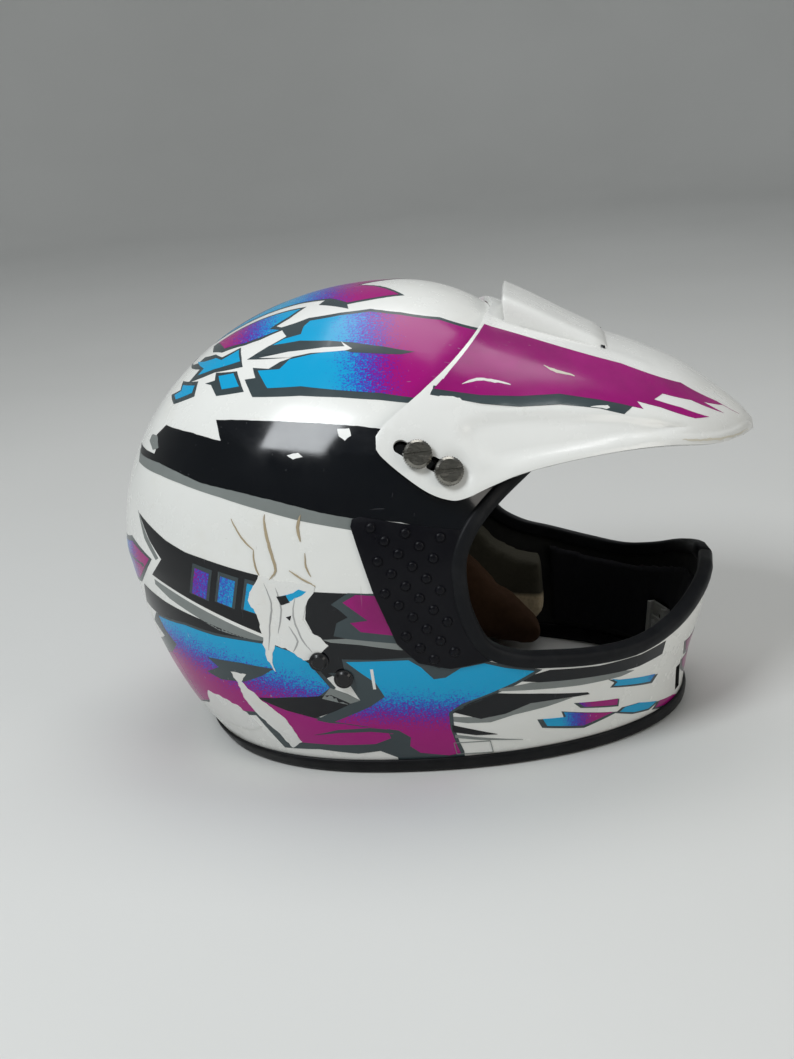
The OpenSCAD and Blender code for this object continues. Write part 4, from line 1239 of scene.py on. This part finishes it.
long_route = [(LOOP_Y - 2.6, EYE_BAR - 1.8), (92, 26.5), (72, 16), (44, 8.5), (10, 6), (-20, 6), (-40, 7.4),
    buckle((17, -7.6)), buckle((9.5, -7.2)), buckle((5.8, -4.6)), buckle((5.3, 0)), buckle((5.8, 4.6)),
    buckle((9.5, 7.2)), buckle((17, 7.6)), (-44, 14.5), (-30, 10.2), (-12, 9.4)]
strap = join("strap_long_woven", [webbing("long", long_route), wrap("eye", LOOP_Y, EYE_BAR)])
place(strap, "strap_long", "strap")
ring_wraps = []
for s in (-1, 1):
    y, z = buckle((0, s * 2.4))
    ring_wraps.append(wrap(f"bar{s}", y, z))
short_route = [(-LOOP_Y + 2.6, EYE_BAR - 1.8), (-93, 29.6), (-86, 26.8), buckle((-3.4, 0))]
short = join("strap_short_woven",
             [webbing("short", short_route), wrap("eye2", -LOOP_Y, EYE_BAR), *ring_wraps])
place(short, "strap_short", "strap")

# ---------------------------------------------------------------- CAD nodes that stay
KEEP = {SCREW: ["peak_screw_front_left", "peak_screw_rear_left", "peak_screw_front_right",
    "peak_screw_rear_right"], BRASS: ["peak_inserts_left", "peak_inserts_right"], VENT: ["vent_frame_left",
    "vent_frame_right", "vent_shutter_left", "vent_shutter_right"], STEEL: ["strap_bracket_left",
    "strap_bracket_right", "strap_eye_left", "strap_eye_right"], RIVET: ["strap_rivets_left",
    "strap_rivets_right"], RING: ["d_ring_upper", "d_ring_lower"]}
for mat, names in KEEP.items():
    for node in names:
        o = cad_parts[node]
        for i in range(len(o.data.materials)):
            o.data.materials[i] = mat
        if not o.data.materials:
            o.data.materials.append(mat)

# ---------------------------------------------------------------- floor, light and camera
floor_m = Mat("floor_board", (0.62, 0.62, 0.60), 0.7)
floor_m.colour(floor_m.ramp(floor_m.noise(1.6, 3), [(0.3, (0.60, 0.60, 0.58)), (0.7, (0.65, 0.65, 0.63))]))
floor_m.bump(floor_m.noise(160, 4), 0.12, 0.0005)
floor = link("floor", bpy.data.meshes.new("floor"))
bm = bmesh.new()
radii = [0.0, 0.8, 1.6, 2.4] + [2.4 + 0.8 * math.sin(math.pi / 16 * k) for k in range(1, 9)] + [3.2]
rises = [0.0] * 4 + [0.8 - 0.8 * math.cos(math.pi / 16 * k) for k in range(1, 9)] + [2.6]
hoops = [[bm.verts.new((q * math.cos(math.pi / 32 * i), q * math.sin(math.pi / 32 * i), z))
          for i in range(64)] for q, z in list(zip(radii, rises))[1:]]
hub = bm.verts.new((0, 0, 0))
for i in range(64):
    bm.faces.new((hub, hoops[0][i], hoops[0][(i + 1) % 64]))
    for k in range(len(hoops) - 1):
        bm.faces.new((hoops[k][i], hoops[k + 1][i], hoops[k + 1][(i + 1) % 64], hoops[k][(i + 1) % 64]))
for f in bm.faces:
    f.smooth = True
bm.to_mesh(floor.data)
bm.free()
floor.data.materials.append(floor_m.m)
floor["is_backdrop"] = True


def area(name, at, aim, size, power_w, colour=(1, 1, 1)):
    l = bpy.data.lights.new(name, "AREA")
    l.shape = "RECTANGLE"
    l.size, l.size_y = size
    l.energy = power_w
    l.color = colour
    o = bpy.data.objects.new(name, l)
    o.location = at
    o.rotation_euler = (Vector(aim) - Vector(at)).to_track_quat("-Z", "Y").to_euler()
    bpy.context.scene.collection.objects.link(o)


area("key", (-0.75, -1.0, 1.45), (0, 0, 0.1), (0.7, 0.6), 21, (0.93, 0.97, 1.0))
area("fill", (1.3, -0.9, 0.7), (0, 0, 0.1), (0.7, 0.7), 5, (1.0, 0.96, 0.90))
area("top", (0.1, 0.5, 1.7), (0, 0, 0.1), (1.2, 0.9), 10)
world = bpy.data.worlds.new("soft")
world.use_nodes = True
world.node_tree.nodes["Background"].inputs[0].default_value = (0.80, 0.84, 0.88, 1)
world.node_tree.nodes["Background"].inputs[1].default_value = 0.34
bpy.context.scene.world = world

AZ, EL, ROLL, FAR = math.radians(5.86), math.radians(17.73), math.radians(-4.38), 0.9167
target = Vector((-0.0242, 0, 0.1032))
look = Vector((-math.sin(AZ) * math.cos(EL), math.cos(AZ) * math.cos(EL), -math.sin(EL)))
right_v = Vector((math.cos(AZ), math.sin(AZ), 0))
up_v = right_v.cross(look)
r2 = right_v * math.cos(ROLL) + up_v * math.sin(ROLL)
u2 = up_v * math.cos(ROLL) - right_v * math.sin(ROLL)
cam = bpy.data.cameras.new("camera")
cam.sensor_fit = "VERTICAL"
cam.sensor_height = 36.0
cam.lens = 1600 / 1059 * 36.0
cam_o = bpy.data.objects.new("camera", cam)
cam_o.matrix_world = Matrix(((r2.x, u2.x, -look.x, 0), (r2.y, u2.y, -look.y, 0), (r2.z, u2.z, -look.z, 0),
    (0, 0, 0, 1)))
cam_o.location = target - look * FAR
bpy.context.scene.collection.objects.link(cam_o)
bpy.context.scene.camera = cam_o
bpy.context.scene.view_settings.view_transform = "Standard"


def plain(b):
    return [[float(c) for c in v] if hasattr(v, "__len__") else float(v) for v in b]


{"cad": plain(cad_bounds), "visual": plain(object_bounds())}
